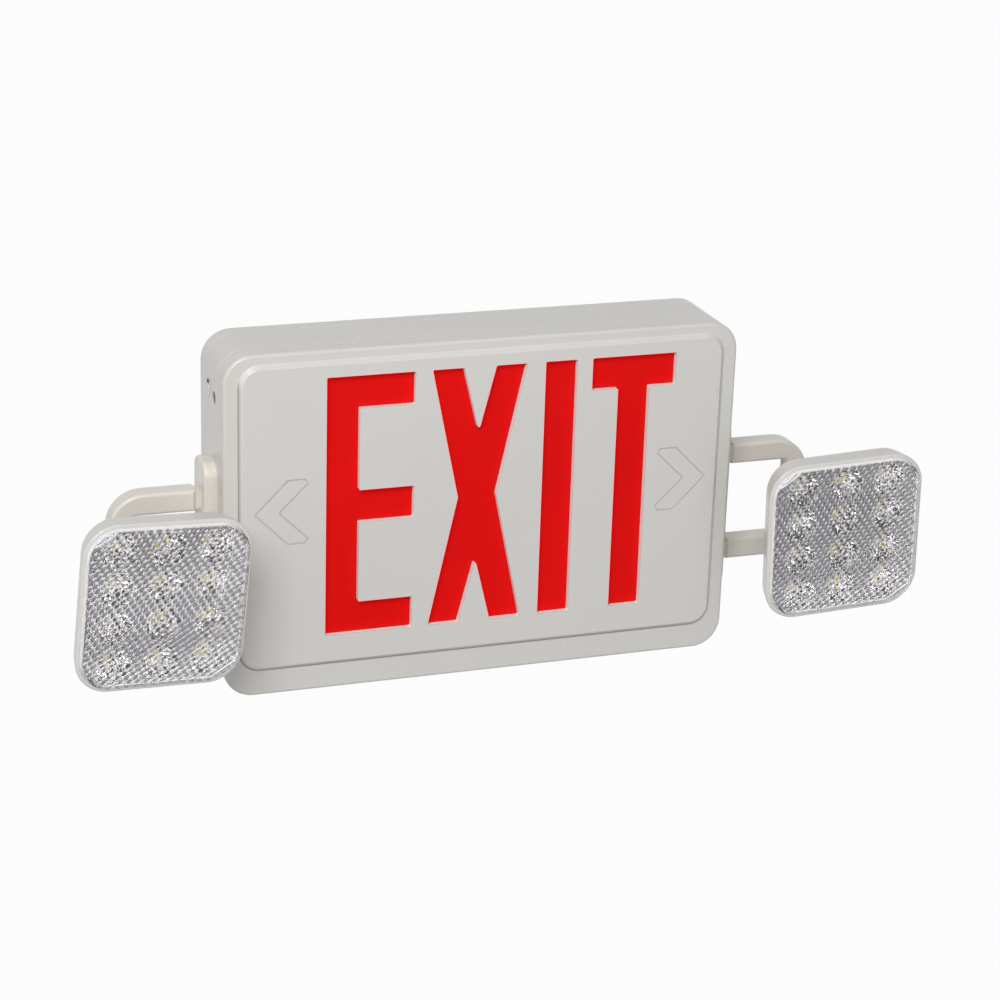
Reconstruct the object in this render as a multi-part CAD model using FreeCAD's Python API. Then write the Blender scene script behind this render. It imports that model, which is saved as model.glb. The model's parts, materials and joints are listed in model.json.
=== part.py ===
import FreeCAD, Part
import math
import os

from FreeCAD import Placement, Rotation, Vector

# Emergency exit light for a wall, with two lamp heads that can be aimed.
#
# Frame: the origin lies on the wall face, midway between the two box screws.
# +Z is up, +X is to the right of someone who reads the sign, and the sign
# faces -Y. All sizes are in millimetres. A "depth" is a distance out from the
# wall, so the point at depth d has y = -d.

# ---------------------------------------------------------------- housing ---
WIDTH = 301.8
HEIGHT = 200.7
CORNER_R = 17.0
WALL = 2.5
BACK_DEPTH = 9.5          # back plate, wall face to first seam
BODY_DEPTH = 29.0         # housing, first seam to second seam
COVER_DEPTH = 14.2        # front frame, second seam to its front face
COVER_EDGE_R = 1.8        # rounding of the front frame's outer edge
SEAM = 0.35               # chamfer on each side of a seam
LIP_DEPTH = 3.0           # how far the housing's lips reach past a seam
LIP_T = 1.2
BULKHEAD_T = 1.5          # white web behind the legend

# ----------------------------------------------------------- clearances ---
FIT = 0.3                 # between pieces that move past each other
SLIP = 0.1                # between pieces that are pushed together
RUN = 0.05                # radial, between a shaft and its bore

# ------------------------------------------------------------- face plate ---
FACE_W = 280.4
FACE_H = 174.9
FACE_R = 10.0
FACE_Z = 4.7              # the plate sits high, which leaves a deep chin
FACE_PROUD = 2.3          # how far the plate stands out of the front frame
FACE_BEVEL = 2.6
FACE_EDGE_R = 0.7
FACE_T = 3.6
FACE_LAP = 4.8            # how far the plate's foot laps over the frame
SKIRT_DEPTH = 5.6
SKIRT_T = 2.0
HOOK_W = 12.0
HOOK_OUT = 1.1
HOOK_T = 2.2
HOOK_X = 79.0
PANEL_T = 1.0
DIFFUSER_T = 1.5

# ----------------------------------------------------------------- legend ---
LETTER_H = 152.4
LETTER_W = 50.8
STROKE = 19.05
CROSS_W = 55.6            # the X is wider than the other letters
CROSS_STROKE = 18.3       # its arms, measured level
CROSS_WAIST = 22.8
CROSS_CROTCH = 38.4       # height of the crotch above the middle
LETTER_GAPS = (9.6, 10.8, 9.1)
LETTER_R = 0.8
LEGEND_LEFT = -93.3
LEGEND_Z = 8.95
ARROW_TIP_X = 134.4
ARROW_H = 38.4
ARROW_NOTCH = 14.9
ARROW_CUT = 10.1          # level cut at each end of the arrow
ARROW_CORNER = 3.2
SCORE_W = 0.9
SCORE_DEPTH = 0.5

# -------------------------------------------------------------- wall side ---
BOX_SCREW_SPACING = 88.9
BOX_SCREW_R = 2.4
KEYHOLE_X = 101.6
KEYHOLE_Z = 38.1
KEYHOLE_HEAD_R = 5.0
KEYHOLE_SHANK_R = 2.4
KEYHOLE_RISE = 11.0
CABLE_HOLE_R = 11.1
RIB_T = 1.6
RIB_H = 5.0

# ------------------------------------------------------------- catch pips ---
PIP_W = 3.4
PIP_D = 1.4
PIP_H = 0.5
PIP_PITCH = 6.9
PIP_X = 78.8
PIP_INSET = 4.0           # from a seam to the pips' middle

# ------------------------------------------------------- side indicators ---
BUTTON_BACK = 6.2         # from the second seam back to the button's middle
BUTTON_Z = 71.1
BUTTON_R = 3.3
BUTTON_SUNK = 0.4
BUTTON_TRAVEL = 1.8
BUTTON_FLANGE_R = 4.1
BUTTON_FLANGE_T = 1.2
BUTTON_STALK_R = 1.6
LAMP_EYE_DEPTH = 18.5
LAMP_EYE_Z = 76.6
LAMP_EYE_R = 1.5
LAMP_EYE_PROUD = 0.9
OVAL_DEPTH = 19.6
OVAL_Z = 71.4
OVAL_W = 2.2
OVAL_H = 7.0
OVAL_PROUD = 0.6
SWITCH_SIZE = 6.0
SWITCH_H = 3.6
SIDE_BOARD_IN = 12.0      # from the inside of the wall to the side board
SIDE_BOARD_Y = 23.0
SIDE_BOARD_Z = 30.0
BOARD_T = 1.6

# -------------------------------------------------------- pads and arms ---
SIDE_Z = -18.0            # level of the arms' middle
SIDE_DEPTH = 26.0         # depth of the arms' middle
PAD_OUT = 7.2
PAD_Y = 26.0
PAD_Z = 103.0
PAD_LEVEL = -17.4         # level of the pads' middle
PAD_R = 8.0
PAD_EDGE_R = 2.0
PAD_DEPTH = 25.0          # depth of the pads' middle
PAD_WALL = 2.2
NECK_LEN = 3.5
NECK_INSET = 1.3
ARM_REACH = 59.5          # from the housing's side to the arm's outer face
ARM_H = 72.8
ARM_BAR = 12.6            # height of a level bar
ARM_POST_W = 11.8         # width of the upright
ARM_D = 13.0
ARM_CORNER_R = 20.0
ARM_INNER_R = 4.0
ARM_EDGE_R = 2.0
JOURNAL_R = 5.0
LEAD_HOLE_R = 4.0
PAD_SCREW_R = 1.7
PAD_SCREW_HEAD_R = 3.2
PAD_SCREW_HEAD_T = 2.0
PAD_SCREW_LEN = 6.0

# ---------------------------------------------------------------- swivel ---
COLLAR_R = 9.2
COLLAR_H = 20.0
LUG_REACH = 11.4
LUG_H = 12.0
LUG_T = 4.0
CLAMP_SCREW_X = 8.3
CLAMP_SCREW_R = 1.25
CLAMP_HEAD_R = 2.1
CLAMP_HEAD_T = 1.8
PIVOT_OUT = 20.0          # from the upright's axis to the tilt pin
EAR_T = 3.5
EAR_R = 7.0
TONGUE_T = 7.6
TONGUE_R = 6.4
PIN_R = 2.0
PIN_HEAD_R = 3.3
PIN_HEAD_T = 1.2
FLANGE_R = 9.0
FLANGE_T = 3.0
FLANGE_OUT = 9.5          # from the tilt pin to the flange
STEM_R = 6.5
SPIGOT_R = 5.0
RETAINER_R = 8.0
RETAINER_T = 1.5

# ------------------------------------------------------------- lamp head ---
LAMP_OUT = 76.0           # from the upright's axis to the lamp's rim
LAMP_W = 95.8
LAMP_R = 20.0
LAMP_WALL = 2.2
LAMP_SIDE_D = 14.0
LAMP_SIDE_TAPER = 4.0     # per side, left and right
LAMP_TOP_TAPER = 1.0      # per side, top and bottom
LAMP_BACK_D = 30.0
LAMP_BACK_W = 48.0
LAMP_BACK_R = 14.0
LAMP_RIM_R = 1.0
LAMP_WAIST_R = 5.0
LAMP_TAIL_R = 6.0
BOSS_LEN = 4.0
LEDGE_D = 4.0
LEDGE_T = 1.2
LENS_PROUD = 3.0
LENS_T = 2.0
LENS_WALL = 1.8
LENS_EDGE_R = 1.8
CUP_COLUMNS = 3
CUP_ROWS = 4
CUP_SIDE = 8.3            # from the lamp's side to the cups' field
CUP_END = 5.1             # from the lamp's top to the cups' field
CUP_RIM = 1.1             # half the web between two cups
CUP_BASE_R = 4.0
CUP_T = 1.2
REFLECTOR_FRONT = 0.8     # behind the rim
REFLECTOR_BACK = 11.0
LED_SIZE = 3.5
LED_T = 0.8
LED_DOME_R = 1.4
LED_DOME_H = 0.5
POST_R = 3.0
POST_X = 24.0
POST_Z = 30.0

# ------------------------------------------------------------ electronics ---
MAIN_BOARD_X = -62.0
MAIN_BOARD_Z = -42.0
MAIN_BOARD_W = 140.0
MAIN_BOARD_H = 76.0
MAIN_BOARD_STAND = 13.0   # posts between the bulkhead and the board
CAN_CLEAR = 0.9           # from the first seam to the capacitors' ends
BOARD_POST_R = 4.0
BOARD_POST_INSET = 7.0
BOARD_SCREW_HEAD_R = 3.0
BOARD_SCREW_HEAD_T = 1.8
BATTERY_X = 72.0
BATTERY_Z = -42.0
CELL_R = 7.25
CELL_LEN = 50.0
CELLS = 4
STRAP_W = 16.0
STRAP_T = 1.2
STRAP_FOOT = 12.0
STRIP_LEN = 240.0
STRIP_DEPTH = 8.0
STRIP_T = 1.2
STRIP_LEDS = 9
STRIP_MARGIN = 3.0        # from the panel's edge to a light strip

# Aim of each lamp head, as it is left: pan turns it about the arm's upright,
# tilt raises its back about the pin, turn rolls it about its own stem, and
# rise is the collar's height above the arm's middle.
AIM = {
    "left": {"side": -1, "pan": 7.7, "tilt": 2.2, "turn": 4.6, "rise": 0.8},
    "right": {"side": 1, "pan": -1.1, "tilt": 3.2, "turn": -2.8, "rise": 3.0},
}

BACK_SEAM = BACK_DEPTH
FRONT_SEAM = BACK_SEAM + BODY_DEPTH
COVER_FRONT = FRONT_SEAM + COVER_DEPTH
FACE_FRONT = COVER_FRONT + FACE_PROUD
FACE_BACK = FACE_FRONT - FACE_T
BULKHEAD_BACK = FRONT_SEAM - BULKHEAD_T
BUTTON_DEPTH = FRONT_SEAM - BUTTON_BACK
OPEN_W = FACE_W + 2 * (FACE_BEVEL - FACE_LAP)
OPEN_H = FACE_H + 2 * (FACE_BEVEL - FACE_LAP)
OPEN_R = FACE_R + FACE_BEVEL - FACE_LAP
SKIRT_W = OPEN_W - 2 * FIT
SKIRT_H = OPEN_H - 2 * FIT
SKIRT_R = OPEN_R - FIT
SIDE_X = WIDTH / 2
INNER_X = SIDE_X - WALL - SLIP
POST_OUT = ARM_REACH - ARM_POST_W / 2
LAMP_BACK_IN = LAMP_BACK_D - LAMP_WALL
BOSS_BACK = LAMP_BACK_D + BOSS_LEN
EAR_GAP = TONGUE_T + 2 * FIT
CUP_PITCH_X = (LAMP_W - 2 * CUP_SIDE) / CUP_COLUMNS
CUP_PITCH_Z = (LAMP_W - 2 * CUP_END) / CUP_ROWS
CUP_R = CUP_PITCH_Z / 2 - CUP_RIM


# ---------------------------------------------------------------- helpers ---
def outline(corners, depth):
    """Closed wire at one depth, through (x, z, corner radius) points."""
    points = [Vector(x, -depth, z) for x, z, _ in corners]
    entries, exits, edges = [], [], []
    for i, here in enumerate(points):
        radius = corners[i][2]
        back = (points[i - 1] - here).normalize()
        ahead = (points[(i + 1) % len(points)] - here).normalize()
        if radius <= 0:
            entries.append(here)
            exits.append(here)
            edges.append(None)
            continue
        half = back.getAngle(ahead) / 2
        inward = (back + ahead).normalize()
        middle = here + inward * (radius / math.sin(half) - radius)
        entries.append(here + back * (radius / math.tan(half)))
        exits.append(here + ahead * (radius / math.tan(half)))
        edges.append(Part.Arc(entries[i], middle, exits[i]).toShape())
    wire = []
    for i, arc in enumerate(edges):
        if arc is not None:
            wire.append(arc)
        start, end = exits[i], entries[(i + 1) % len(points)]
        if start.distanceToPoint(end) > 1e-6:
            wire.append(Part.makeLine(start, end))
    return Part.Wire(wire)


def rounded_wire(width, height, radius, depth, x=0.0, z=0.0):
    """Rounded rectangle at one depth, centred on (x, z)."""
    w, h = width / 2, height / 2
    return outline([(x - w, z - h, radius), (x + w, z - h, radius),
                    (x + w, z + h, radius), (x - w, z + h, radius)], depth)


def fill(wire, thickness):
    """Solid from a wire, grown outwards from the wall by a thickness."""
    return Part.Face(wire).extrude(Vector(0, -thickness, 0))


def slab(width, height, radius, start, end, x=0.0, z=0.0):
    """Rounded block between two depths."""
    return fill(rounded_wire(width, height, radius, start, x, z), end - start)


def taper(start_wire, end_wire):
    """Straight-sided solid between two matching wires."""
    return Part.makeLoft([start_wire, end_wire], True, True)


def rod(radius, start, end):
    """Cylinder between two points."""
    axis = end - start
    return Part.makeCylinder(radius, axis.Length, start, axis)


def block(x0, x1, depth0, depth1, z0, z1):
    """Box from its sides, with depths for the Y direction."""
    return Part.makeBox(x1 - x0, depth1 - depth0, z1 - z0, Vector(x0, -depth1, z0))


def edges_at_depth(shape, depth):
    """The edges that lie wholly at one depth."""
    return [edge for edge in shape.Edges
            if abs(edge.BoundBox.YMin + depth) < 1e-4 and abs(edge.BoundBox.YMax + depth) < 1e-4]


def housing_slab(inset, start, end):
    """Block with the housing's outline, made smaller all round by an inset."""
    return slab(WIDTH - 2 * inset, HEIGHT - 2 * inset, CORNER_R - inset, start, end)


def mirrored(shape, side):
    """The shape as built for the right, or its mirror image for the left."""
    return shape if side > 0 else shape.mirror(Vector(0, 0, 0), Vector(1, 0, 0))


def export(name, shape):
    """Write one node."""
    solids = shape.Solids
    shape = solids[0] if len(solids) == 1 else Part.makeCompound(solids)
    shape.exportStep("parts/" + name + ".step")


# ------------------------------------------------------------ main housing ---
def catch_pips(middle):
    """Two pairs of small ribs on the top face that mark the catches."""
    pips = []
    for x in (-PIP_X, PIP_X):
        for step in (-0.5, 0.5):
            at = x + step * PIP_PITCH
            pip = slab(PIP_W, 4 * PIP_H, PIP_H, middle - PIP_D / 2, middle + PIP_D / 2,
                       at, HEIGHT / 2 - PIP_H)
            pips.append(pip)
    return pips


def keyhole(x):
    """Keyhole slot: a round mouth for the screw head, with a slot above it."""
    head = rod(KEYHOLE_HEAD_R, Vector(x, 1, KEYHOLE_Z), Vector(x, -WALL - 1, KEYHOLE_Z))
    slot = slab(2 * KEYHOLE_SHANK_R, KEYHOLE_RISE + 2 * KEYHOLE_SHANK_R, KEYHOLE_SHANK_R * 0.999,
                -1, WALL + 1, x, KEYHOLE_Z + KEYHOLE_RISE / 2)
    return head.fuse(slot)


def back_plate():
    """Shallow pan that is screwed to the wall box."""
    plate = housing_slab(0, 0, BACK_SEAM)
    plate = plate.makeChamfer(SEAM, edges_at_depth(plate, BACK_SEAM))
    plate = plate.cut(housing_slab(WALL, WALL, BACK_SEAM + 1))
    plate = plate.cut(housing_slab(WALL - LIP_T, BACK_SEAM - LIP_DEPTH, BACK_SEAM + 1))
    ribs = [block(-INNER_X, INNER_X, WALL, WALL + RIB_H, z, z + RIB_T)
            for z in (-CABLE_HOLE_R - 12, CABLE_HOLE_R + 12)]
    rib_ring = rod(CABLE_HOLE_R + 3, Vector(0, -WALL, 0), Vector(0, -WALL - RIB_H, 0))
    rib_clear = housing_slab(WALL + LIP_T, WALL, WALL + RIB_H)
    plate = plate.fuse([rib.common(rib_clear) for rib in ribs] + [rib_ring] + catch_pips(PIP_INSET))
    cuts = [keyhole(-KEYHOLE_X), keyhole(KEYHOLE_X)]
    cuts.append(rod(CABLE_HOLE_R, Vector(0, 1, 0), Vector(0, -WALL - RIB_H - 1, 0)))
    for x in (-BOX_SCREW_SPACING / 2, BOX_SCREW_SPACING / 2):
        cuts.append(rod(BOX_SCREW_R, Vector(x, 1, 0), Vector(x, -WALL - 1, 0)))
    return plate.cut(cuts)


def side_bores():
    """Holes in the housing's sides for the button, indicator, leads and screws."""
    reach = WALL + 2
    left = -SIDE_X - 1
    bores = [
        rod(BUTTON_R + FIT, Vector(left, -BUTTON_DEPTH, BUTTON_Z),
            Vector(left + reach, -BUTTON_DEPTH, BUTTON_Z)),
        rod(LAMP_EYE_R + SLIP, Vector(left, -LAMP_EYE_DEPTH, LAMP_EYE_Z),
            Vector(left + reach, -LAMP_EYE_DEPTH, LAMP_EYE_Z)),
    ]
    for side in (-1, 1):
        start, end = side * (INNER_X - 1), side * (SIDE_X + 1)
        bores.append(rod(LEAD_HOLE_R, Vector(start, -SIDE_DEPTH, SIDE_Z),
                         Vector(end, -SIDE_DEPTH, SIDE_Z)))
        for z in pad_screw_levels():
            bores.append(rod(PAD_SCREW_R, Vector(start, -PAD_DEPTH, z), Vector(end, -PAD_DEPTH, z)))
    return bores


def oval_boss():
    """Small raised oval on the left side, under the indicator."""
    boss = slab(OVAL_W, OVAL_H, OVAL_W * 0.499, -1, OVAL_PROUD)
    boss.Placement = Placement(Vector(-SIDE_X, -OVAL_DEPTH, OVAL_Z), Rotation(Vector(0, 0, 1), -90))
    return boss


def board_post_places():
    """Where the main board's four posts stand."""
    dx = MAIN_BOARD_W / 2 - BOARD_POST_INSET
    dz = MAIN_BOARD_H / 2 - BOARD_POST_INSET
    return [(MAIN_BOARD_X + sx * dx, MAIN_BOARD_Z + sz * dz) for sx in (-1, 1) for sz in (-1, 1)]


def strip_levels():
    """Levels of the two light strips' outer faces, above and below the legend."""
    reach = SKIRT_H / 2 - SKIRT_T - STRIP_MARGIN
    return (FACE_Z + reach, FACE_Z - reach)


def housing_frame():
    """Middle of the housing: a ring with a white web that backs the legend."""
    body = housing_slab(0, BACK_SEAM, FRONT_SEAM)
    seam_edges = edges_at_depth(body, BACK_SEAM) + edges_at_depth(body, FRONT_SEAM)
    body = body.makeChamfer(SEAM, seam_edges)
    lip_inset = WALL - LIP_T + SLIP
    lips = housing_slab(lip_inset, BACK_SEAM - LIP_DEPTH + SLIP, FRONT_SEAM + LIP_DEPTH - SLIP)
    body = body.fuse(lips)
    body = body.cut(housing_slab(WALL + SLIP, BACK_SEAM - LIP_DEPTH, BULKHEAD_BACK))
    body = body.cut(housing_slab(WALL + SLIP, FRONT_SEAM, FRONT_SEAM + LIP_DEPTH))
    extras = [rod(BOARD_POST_R, Vector(x, -BULKHEAD_BACK, z),
                  Vector(x, -BULKHEAD_BACK + MAIN_BOARD_STAND, z)) for x, z in board_post_places()]
    top, bottom = strip_levels()
    for z in (top, bottom - BULKHEAD_T):
        extras.append(block(-STRIP_LEN / 2, STRIP_LEN / 2, FRONT_SEAM, FRONT_SEAM + STRIP_DEPTH,
                            z, z + BULKHEAD_T))
    extras += [side_board_rib(level) for level in (LAMP_EYE_Z - SIDE_BOARD_Z / 2, LAMP_EYE_Z + SIDE_BOARD_Z / 2)]
    extras.append(oval_boss())
    return body.fuse(extras).cut(side_bores())


def side_board_rib(level):
    """Rib from the bulkhead that carries one end of the side board."""
    x = -INNER_X + SIDE_BOARD_IN + BOARD_T
    front = BULKHEAD_BACK
    return block(x, x + RIB_T, front - SIDE_BOARD_Y, front, level - RIB_H, level + RIB_H)


def front_frame():
    """Front frame: a rim round the face plate, with a deep skirt."""
    frame = housing_slab(0, FRONT_SEAM, COVER_FRONT)
    frame = frame.makeFillet(COVER_EDGE_R, edges_at_depth(frame, COVER_FRONT))
    frame = frame.makeChamfer(SEAM, edges_at_depth(frame, FRONT_SEAM))
    frame = frame.cut(housing_slab(WALL, FRONT_SEAM - 1, COVER_FRONT - WALL))
    frame = frame.cut(housing_slab(WALL - LIP_T, FRONT_SEAM - 1, FRONT_SEAM + LIP_DEPTH))
    frame = frame.cut(slab(OPEN_W, OPEN_H, OPEN_R, COVER_FRONT - WALL - 1, COVER_FRONT + 1, 0, FACE_Z))
    return frame.fuse(catch_pips(FRONT_SEAM + PIP_INSET))


# ---------------------------------------------------------------- legend ---
def letter_e(left):
    """Corners of the letter E."""
    right, top, bottom = left + LETTER_W, LEGEND_Z + LETTER_H / 2, LEGEND_Z - LETTER_H / 2
    stem, half = left + STROKE, STROKE / 2
    return [(left, bottom), (right, bottom), (right, bottom + STROKE), (stem, bottom + STROKE),
            (stem, LEGEND_Z - half), (right, LEGEND_Z - half), (right, LEGEND_Z + half),
            (stem, LEGEND_Z + half), (stem, top - STROKE), (right, top - STROKE), (right, top),
            (left, top)]


def letter_x(left):
    """Corners of the letter X."""
    middle, half = left + CROSS_W / 2, CROSS_W / 2
    top, bottom = LEGEND_Z + LETTER_H / 2, LEGEND_Z - LETTER_H / 2
    arm, waist = half - CROSS_STROKE, CROSS_WAIST / 2
    return [(middle - half, bottom), (middle - arm, bottom), (middle, LEGEND_Z - CROSS_CROTCH),
            (middle + arm, bottom), (middle + half, bottom), (middle + waist, LEGEND_Z),
            (middle + half, top), (middle + arm, top), (middle, LEGEND_Z + CROSS_CROTCH),
            (middle - arm, top), (middle - half, top), (middle - waist, LEGEND_Z)]


def letter_i(left):
    """Corners of the letter I."""
    right, top, bottom = left + STROKE, LEGEND_Z + LETTER_H / 2, LEGEND_Z - LETTER_H / 2
    return [(left, bottom), (right, bottom), (right, top), (left, top)]


def letter_t(left):
    """Corners of the letter T."""
    right, top, bottom = left + LETTER_W, LEGEND_Z + LETTER_H / 2, LEGEND_Z - LETTER_H / 2
    stem0, stem1 = left + (LETTER_W - STROKE) / 2, left + (LETTER_W + STROKE) / 2
    return [(stem0, bottom), (stem1, bottom), (stem1, top - STROKE), (right, top - STROKE),
            (right, top), (left, top), (left, top - STROKE), (stem0, top - STROKE)]


def legend_cuts():
    """The four letters as stencil openings through the face plate."""
    cuts, left = [], LEGEND_LEFT
    letters = ((letter_e, LETTER_W), (letter_x, CROSS_W), (letter_i, STROKE), (letter_t, LETTER_W))
    for (corners, width), gap in zip(letters, LETTER_GAPS + (0,)):
        points = [(x, z, LETTER_R) for x, z in corners(left)]
        cuts.append(fill(outline(points, FACE_BACK - 1), FACE_T + 2))
        left += width + gap
    return cuts


def arrow_cut(side):
    """Scored outline of one knock-out direction arrow."""
    half = ARROW_H / 2
    reach = half + ARROW_CUT
    corners = [(0, 0, 0.5), (half, half, 1.0), (reach, half, 0.6),
               (reach + 0.6 * ARROW_CORNER, half - ARROW_CORNER, 0.6), (ARROW_NOTCH, 0, 0.5),
               (reach + 0.6 * ARROW_CORNER, ARROW_CORNER - half, 0.6), (reach, -half, 0.6),
               (half, -half, 1.0)]
    placed = [(side * (ARROW_TIP_X - x), LEGEND_Z + z, r) for x, z, r in corners]
    outer = outline(placed, FACE_FRONT - SCORE_DEPTH)
    inner = outer.makeOffset2D(-SCORE_W)
    return fill(outer, SCORE_DEPTH + 1).cut(fill(inner, SCORE_DEPTH + 1))


def hooks():
    """Catches on the face plate's skirt that snap behind the front frame."""
    front = COVER_FRONT - WALL - FIT
    out = SKIRT_H / 2 + HOOK_OUT
    shapes = []
    for x in (-HOOK_X, HOOK_X):
        for sign in (-1, 1):
            z0, z1 = sorted((FACE_Z + sign * (SKIRT_H / 2 - SKIRT_T), FACE_Z + sign * out))
            shapes.append(block(x - HOOK_W / 2, x + HOOK_W / 2, front - HOOK_T, front, z0, z1))
    for sign in (-1, 1):
        x0, x1 = sorted((sign * (SKIRT_W / 2 - SKIRT_T), sign * (SKIRT_W / 2 + HOOK_OUT)))
        shapes.append(block(x0, x1, front - HOOK_T, front, FACE_Z - HOOK_W / 2, FACE_Z + HOOK_W / 2))
    return shapes


def face_plate():
    """Moulded stencil plate with a bevelled edge, standing proud of the frame."""
    foot = rounded_wire(FACE_W + 2 * FACE_BEVEL, FACE_H + 2 * FACE_BEVEL, FACE_R + FACE_BEVEL,
                        COVER_FRONT, 0, FACE_Z)
    brow = rounded_wire(FACE_W, FACE_H, FACE_R, FACE_FRONT, 0, FACE_Z)
    plate = taper(foot, brow)
    plate = plate.makeFillet(FACE_EDGE_R, edges_at_depth(plate, FACE_FRONT))
    core = slab(SKIRT_W, SKIRT_H, SKIRT_R, FACE_BACK - SKIRT_DEPTH, COVER_FRONT, 0, FACE_Z)
    hollow = slab(SKIRT_W - 2 * SKIRT_T, SKIRT_H - 2 * SKIRT_T, SKIRT_R - SKIRT_T,
                  FACE_BACK - SKIRT_DEPTH - 1, FACE_BACK, 0, FACE_Z)
    plate = plate.fuse([core.cut(hollow)] + hooks())
    return plate.cut(legend_cuts() + [arrow_cut(-1), arrow_cut(1)])


def legend_sheet(front, thickness):
    """Sheet that drops into the face plate's skirt."""
    return slab(SKIRT_W - 2 * SKIRT_T - 2 * SLIP, SKIRT_H - 2 * SKIRT_T - 2 * SLIP,
                SKIRT_R - SKIRT_T - SLIP, front - thickness, front, 0, FACE_Z)


def light_strips():
    """Two strip boards that light the legend from above and below."""
    top, bottom = strip_levels()
    return Part.makeCompound([
        block(-STRIP_LEN / 2, STRIP_LEN / 2, FRONT_SEAM, FRONT_SEAM + STRIP_DEPTH, z, z + STRIP_T)
        for z in (top - STRIP_T, bottom)])


def strip_leds():
    """Light-emitting diodes on both strips."""
    top, bottom = strip_levels()
    middle = FRONT_SEAM + STRIP_DEPTH / 2
    chips = []
    for i in range(STRIP_LEDS):
        x = STRIP_LEN * ((i + 0.5) / STRIP_LEDS - 0.5)
        for z in (top - STRIP_T - LED_T, bottom + STRIP_T):
            chips.append(block(x - LED_SIZE / 2, x + LED_SIZE / 2, middle - LED_SIZE / 2,
                               middle + LED_SIZE / 2, z, z + LED_T))
    return Part.makeCompound(chips)


# ------------------------------------------------- button and indicator ---
def side_board():
    """Small board behind the left wall with the test switch and indicator."""
    x = -INNER_X + SIDE_BOARD_IN
    z = LAMP_EYE_Z
    return block(x, x + BOARD_T, BULKHEAD_BACK - SIDE_BOARD_Y, BULKHEAD_BACK - FIT,
                 z - SIDE_BOARD_Z / 2 - RIB_H, z + SIDE_BOARD_Z / 2)


def test_switch():
    """Push switch on the side board."""
    x = -INNER_X + SIDE_BOARD_IN
    half = SWITCH_SIZE / 2
    body = block(x - SWITCH_H, x, BUTTON_DEPTH - half, BUTTON_DEPTH + half,
                 BUTTON_Z - half, BUTTON_Z + half)
    return body


def test_button():
    """Push button with an inside flange and a stalk to the switch."""
    axis = lambda x: Vector(x, -BUTTON_DEPTH, BUTTON_Z)
    cap = rod(BUTTON_R, axis(-SIDE_X + BUTTON_SUNK), axis(-INNER_X + FIT))
    cap = cap.makeFillet(0.5, [edge for edge in cap.Edges
                               if edge.BoundBox.XMax < -SIDE_X + BUTTON_SUNK + 0.01])
    flange = rod(BUTTON_FLANGE_R, axis(-INNER_X + FIT), axis(-INNER_X + FIT + BUTTON_FLANGE_T))
    tip = -INNER_X + SIDE_BOARD_IN - SWITCH_H - BUTTON_TRAVEL - FIT
    stalk = rod(BUTTON_STALK_R, axis(-INNER_X + FIT), axis(tip))
    return cap.fuse([flange, stalk])


def status_led():
    """Round indicator whose dome shows through the left wall."""
    axis = lambda x: Vector(x, -LAMP_EYE_DEPTH, LAMP_EYE_Z)
    dome_x = -SIDE_X - LAMP_EYE_PROUD + LAMP_EYE_R
    barrel = rod(LAMP_EYE_R, axis(dome_x), axis(-INNER_X + SIDE_BOARD_IN))
    dome = Part.makeSphere(LAMP_EYE_R, axis(dome_x))
    base = rod(LAMP_EYE_R + 0.4, axis(-INNER_X + 1), axis(-INNER_X + 2))
    return barrel.fuse([dome, base])


# ------------------------------------------------------------ electronics ---
def board_back():
    """Depth of the main board's face that looks at the wall."""
    return BULKHEAD_BACK - MAIN_BOARD_STAND - BOARD_T


def circuit_board():
    """Charger and transfer board on four posts."""
    board = slab(MAIN_BOARD_W, MAIN_BOARD_H, 2, board_back(), board_back() + BOARD_T,
                 MAIN_BOARD_X, MAIN_BOARD_Z)
    return board


def board_screws():
    """Screws that hold the main board to its posts."""
    depth = board_back()
    return Part.makeCompound([
        rod(BOARD_SCREW_HEAD_R, Vector(x, -depth, z), Vector(x, -depth + BOARD_SCREW_HEAD_T, z))
        for x, z in board_post_places()])


def transformer():
    """Mains transformer: a laminated core with a bobbin through it."""
    back = board_back()
    x, z = MAIN_BOARD_X - 42, MAIN_BOARD_Z
    core = block(x - 14, x + 14, back - 9, back - 1, z - 12, z + 12)
    bobbin = slab(20, 30, 3, back - 12, back, x, z)
    return core.fuse(bobbin)


def capacitors():
    """Three upright capacitors."""
    cans = []
    end = BACK_SEAM + CAN_CLEAR
    for i, radius in enumerate((5.0, 4.0, 4.0)):
        x = MAIN_BOARD_X - 12 + 13 * i
        z = MAIN_BOARD_Z + 18
        cans.append(rod(radius, Vector(x, -board_back(), z), Vector(x, -end, z)))
    return Part.makeCompound(cans)


def relay():
    """Transfer relay."""
    x, z = MAIN_BOARD_X + 8, MAIN_BOARD_Z - 12
    return slab(20, 16, 1.0, board_back() - 12, board_back(), x, z)


def terminal_block():
    """Supply terminals."""
    x, z = MAIN_BOARD_X + 52, MAIN_BOARD_Z + 4
    body = block(x - 8, x + 8, board_back() - 10, board_back(), z - 15, z + 15)
    mouths = [rod(1.8, Vector(x + 9, -board_back() + 4, z + step), Vector(x, -board_back() + 4, z + step))
              for step in (-10, 0, 10)]
    return body.cut(mouths)


def battery_pack():
    """Row of cells in one shrink sleeve, against the bulkhead."""
    width = 2 * CELL_R * CELLS
    sleeve = slab(width, 2 * CELL_R, CELL_R * 0.98, 0, CELL_LEN)
    sleeve.Placement = Placement(Vector(BATTERY_X, -BULKHEAD_BACK + CELL_R, BATTERY_Z - CELL_LEN / 2),
                                 Rotation(Vector(1, 0, 0), -90))
    return sleeve


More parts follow.
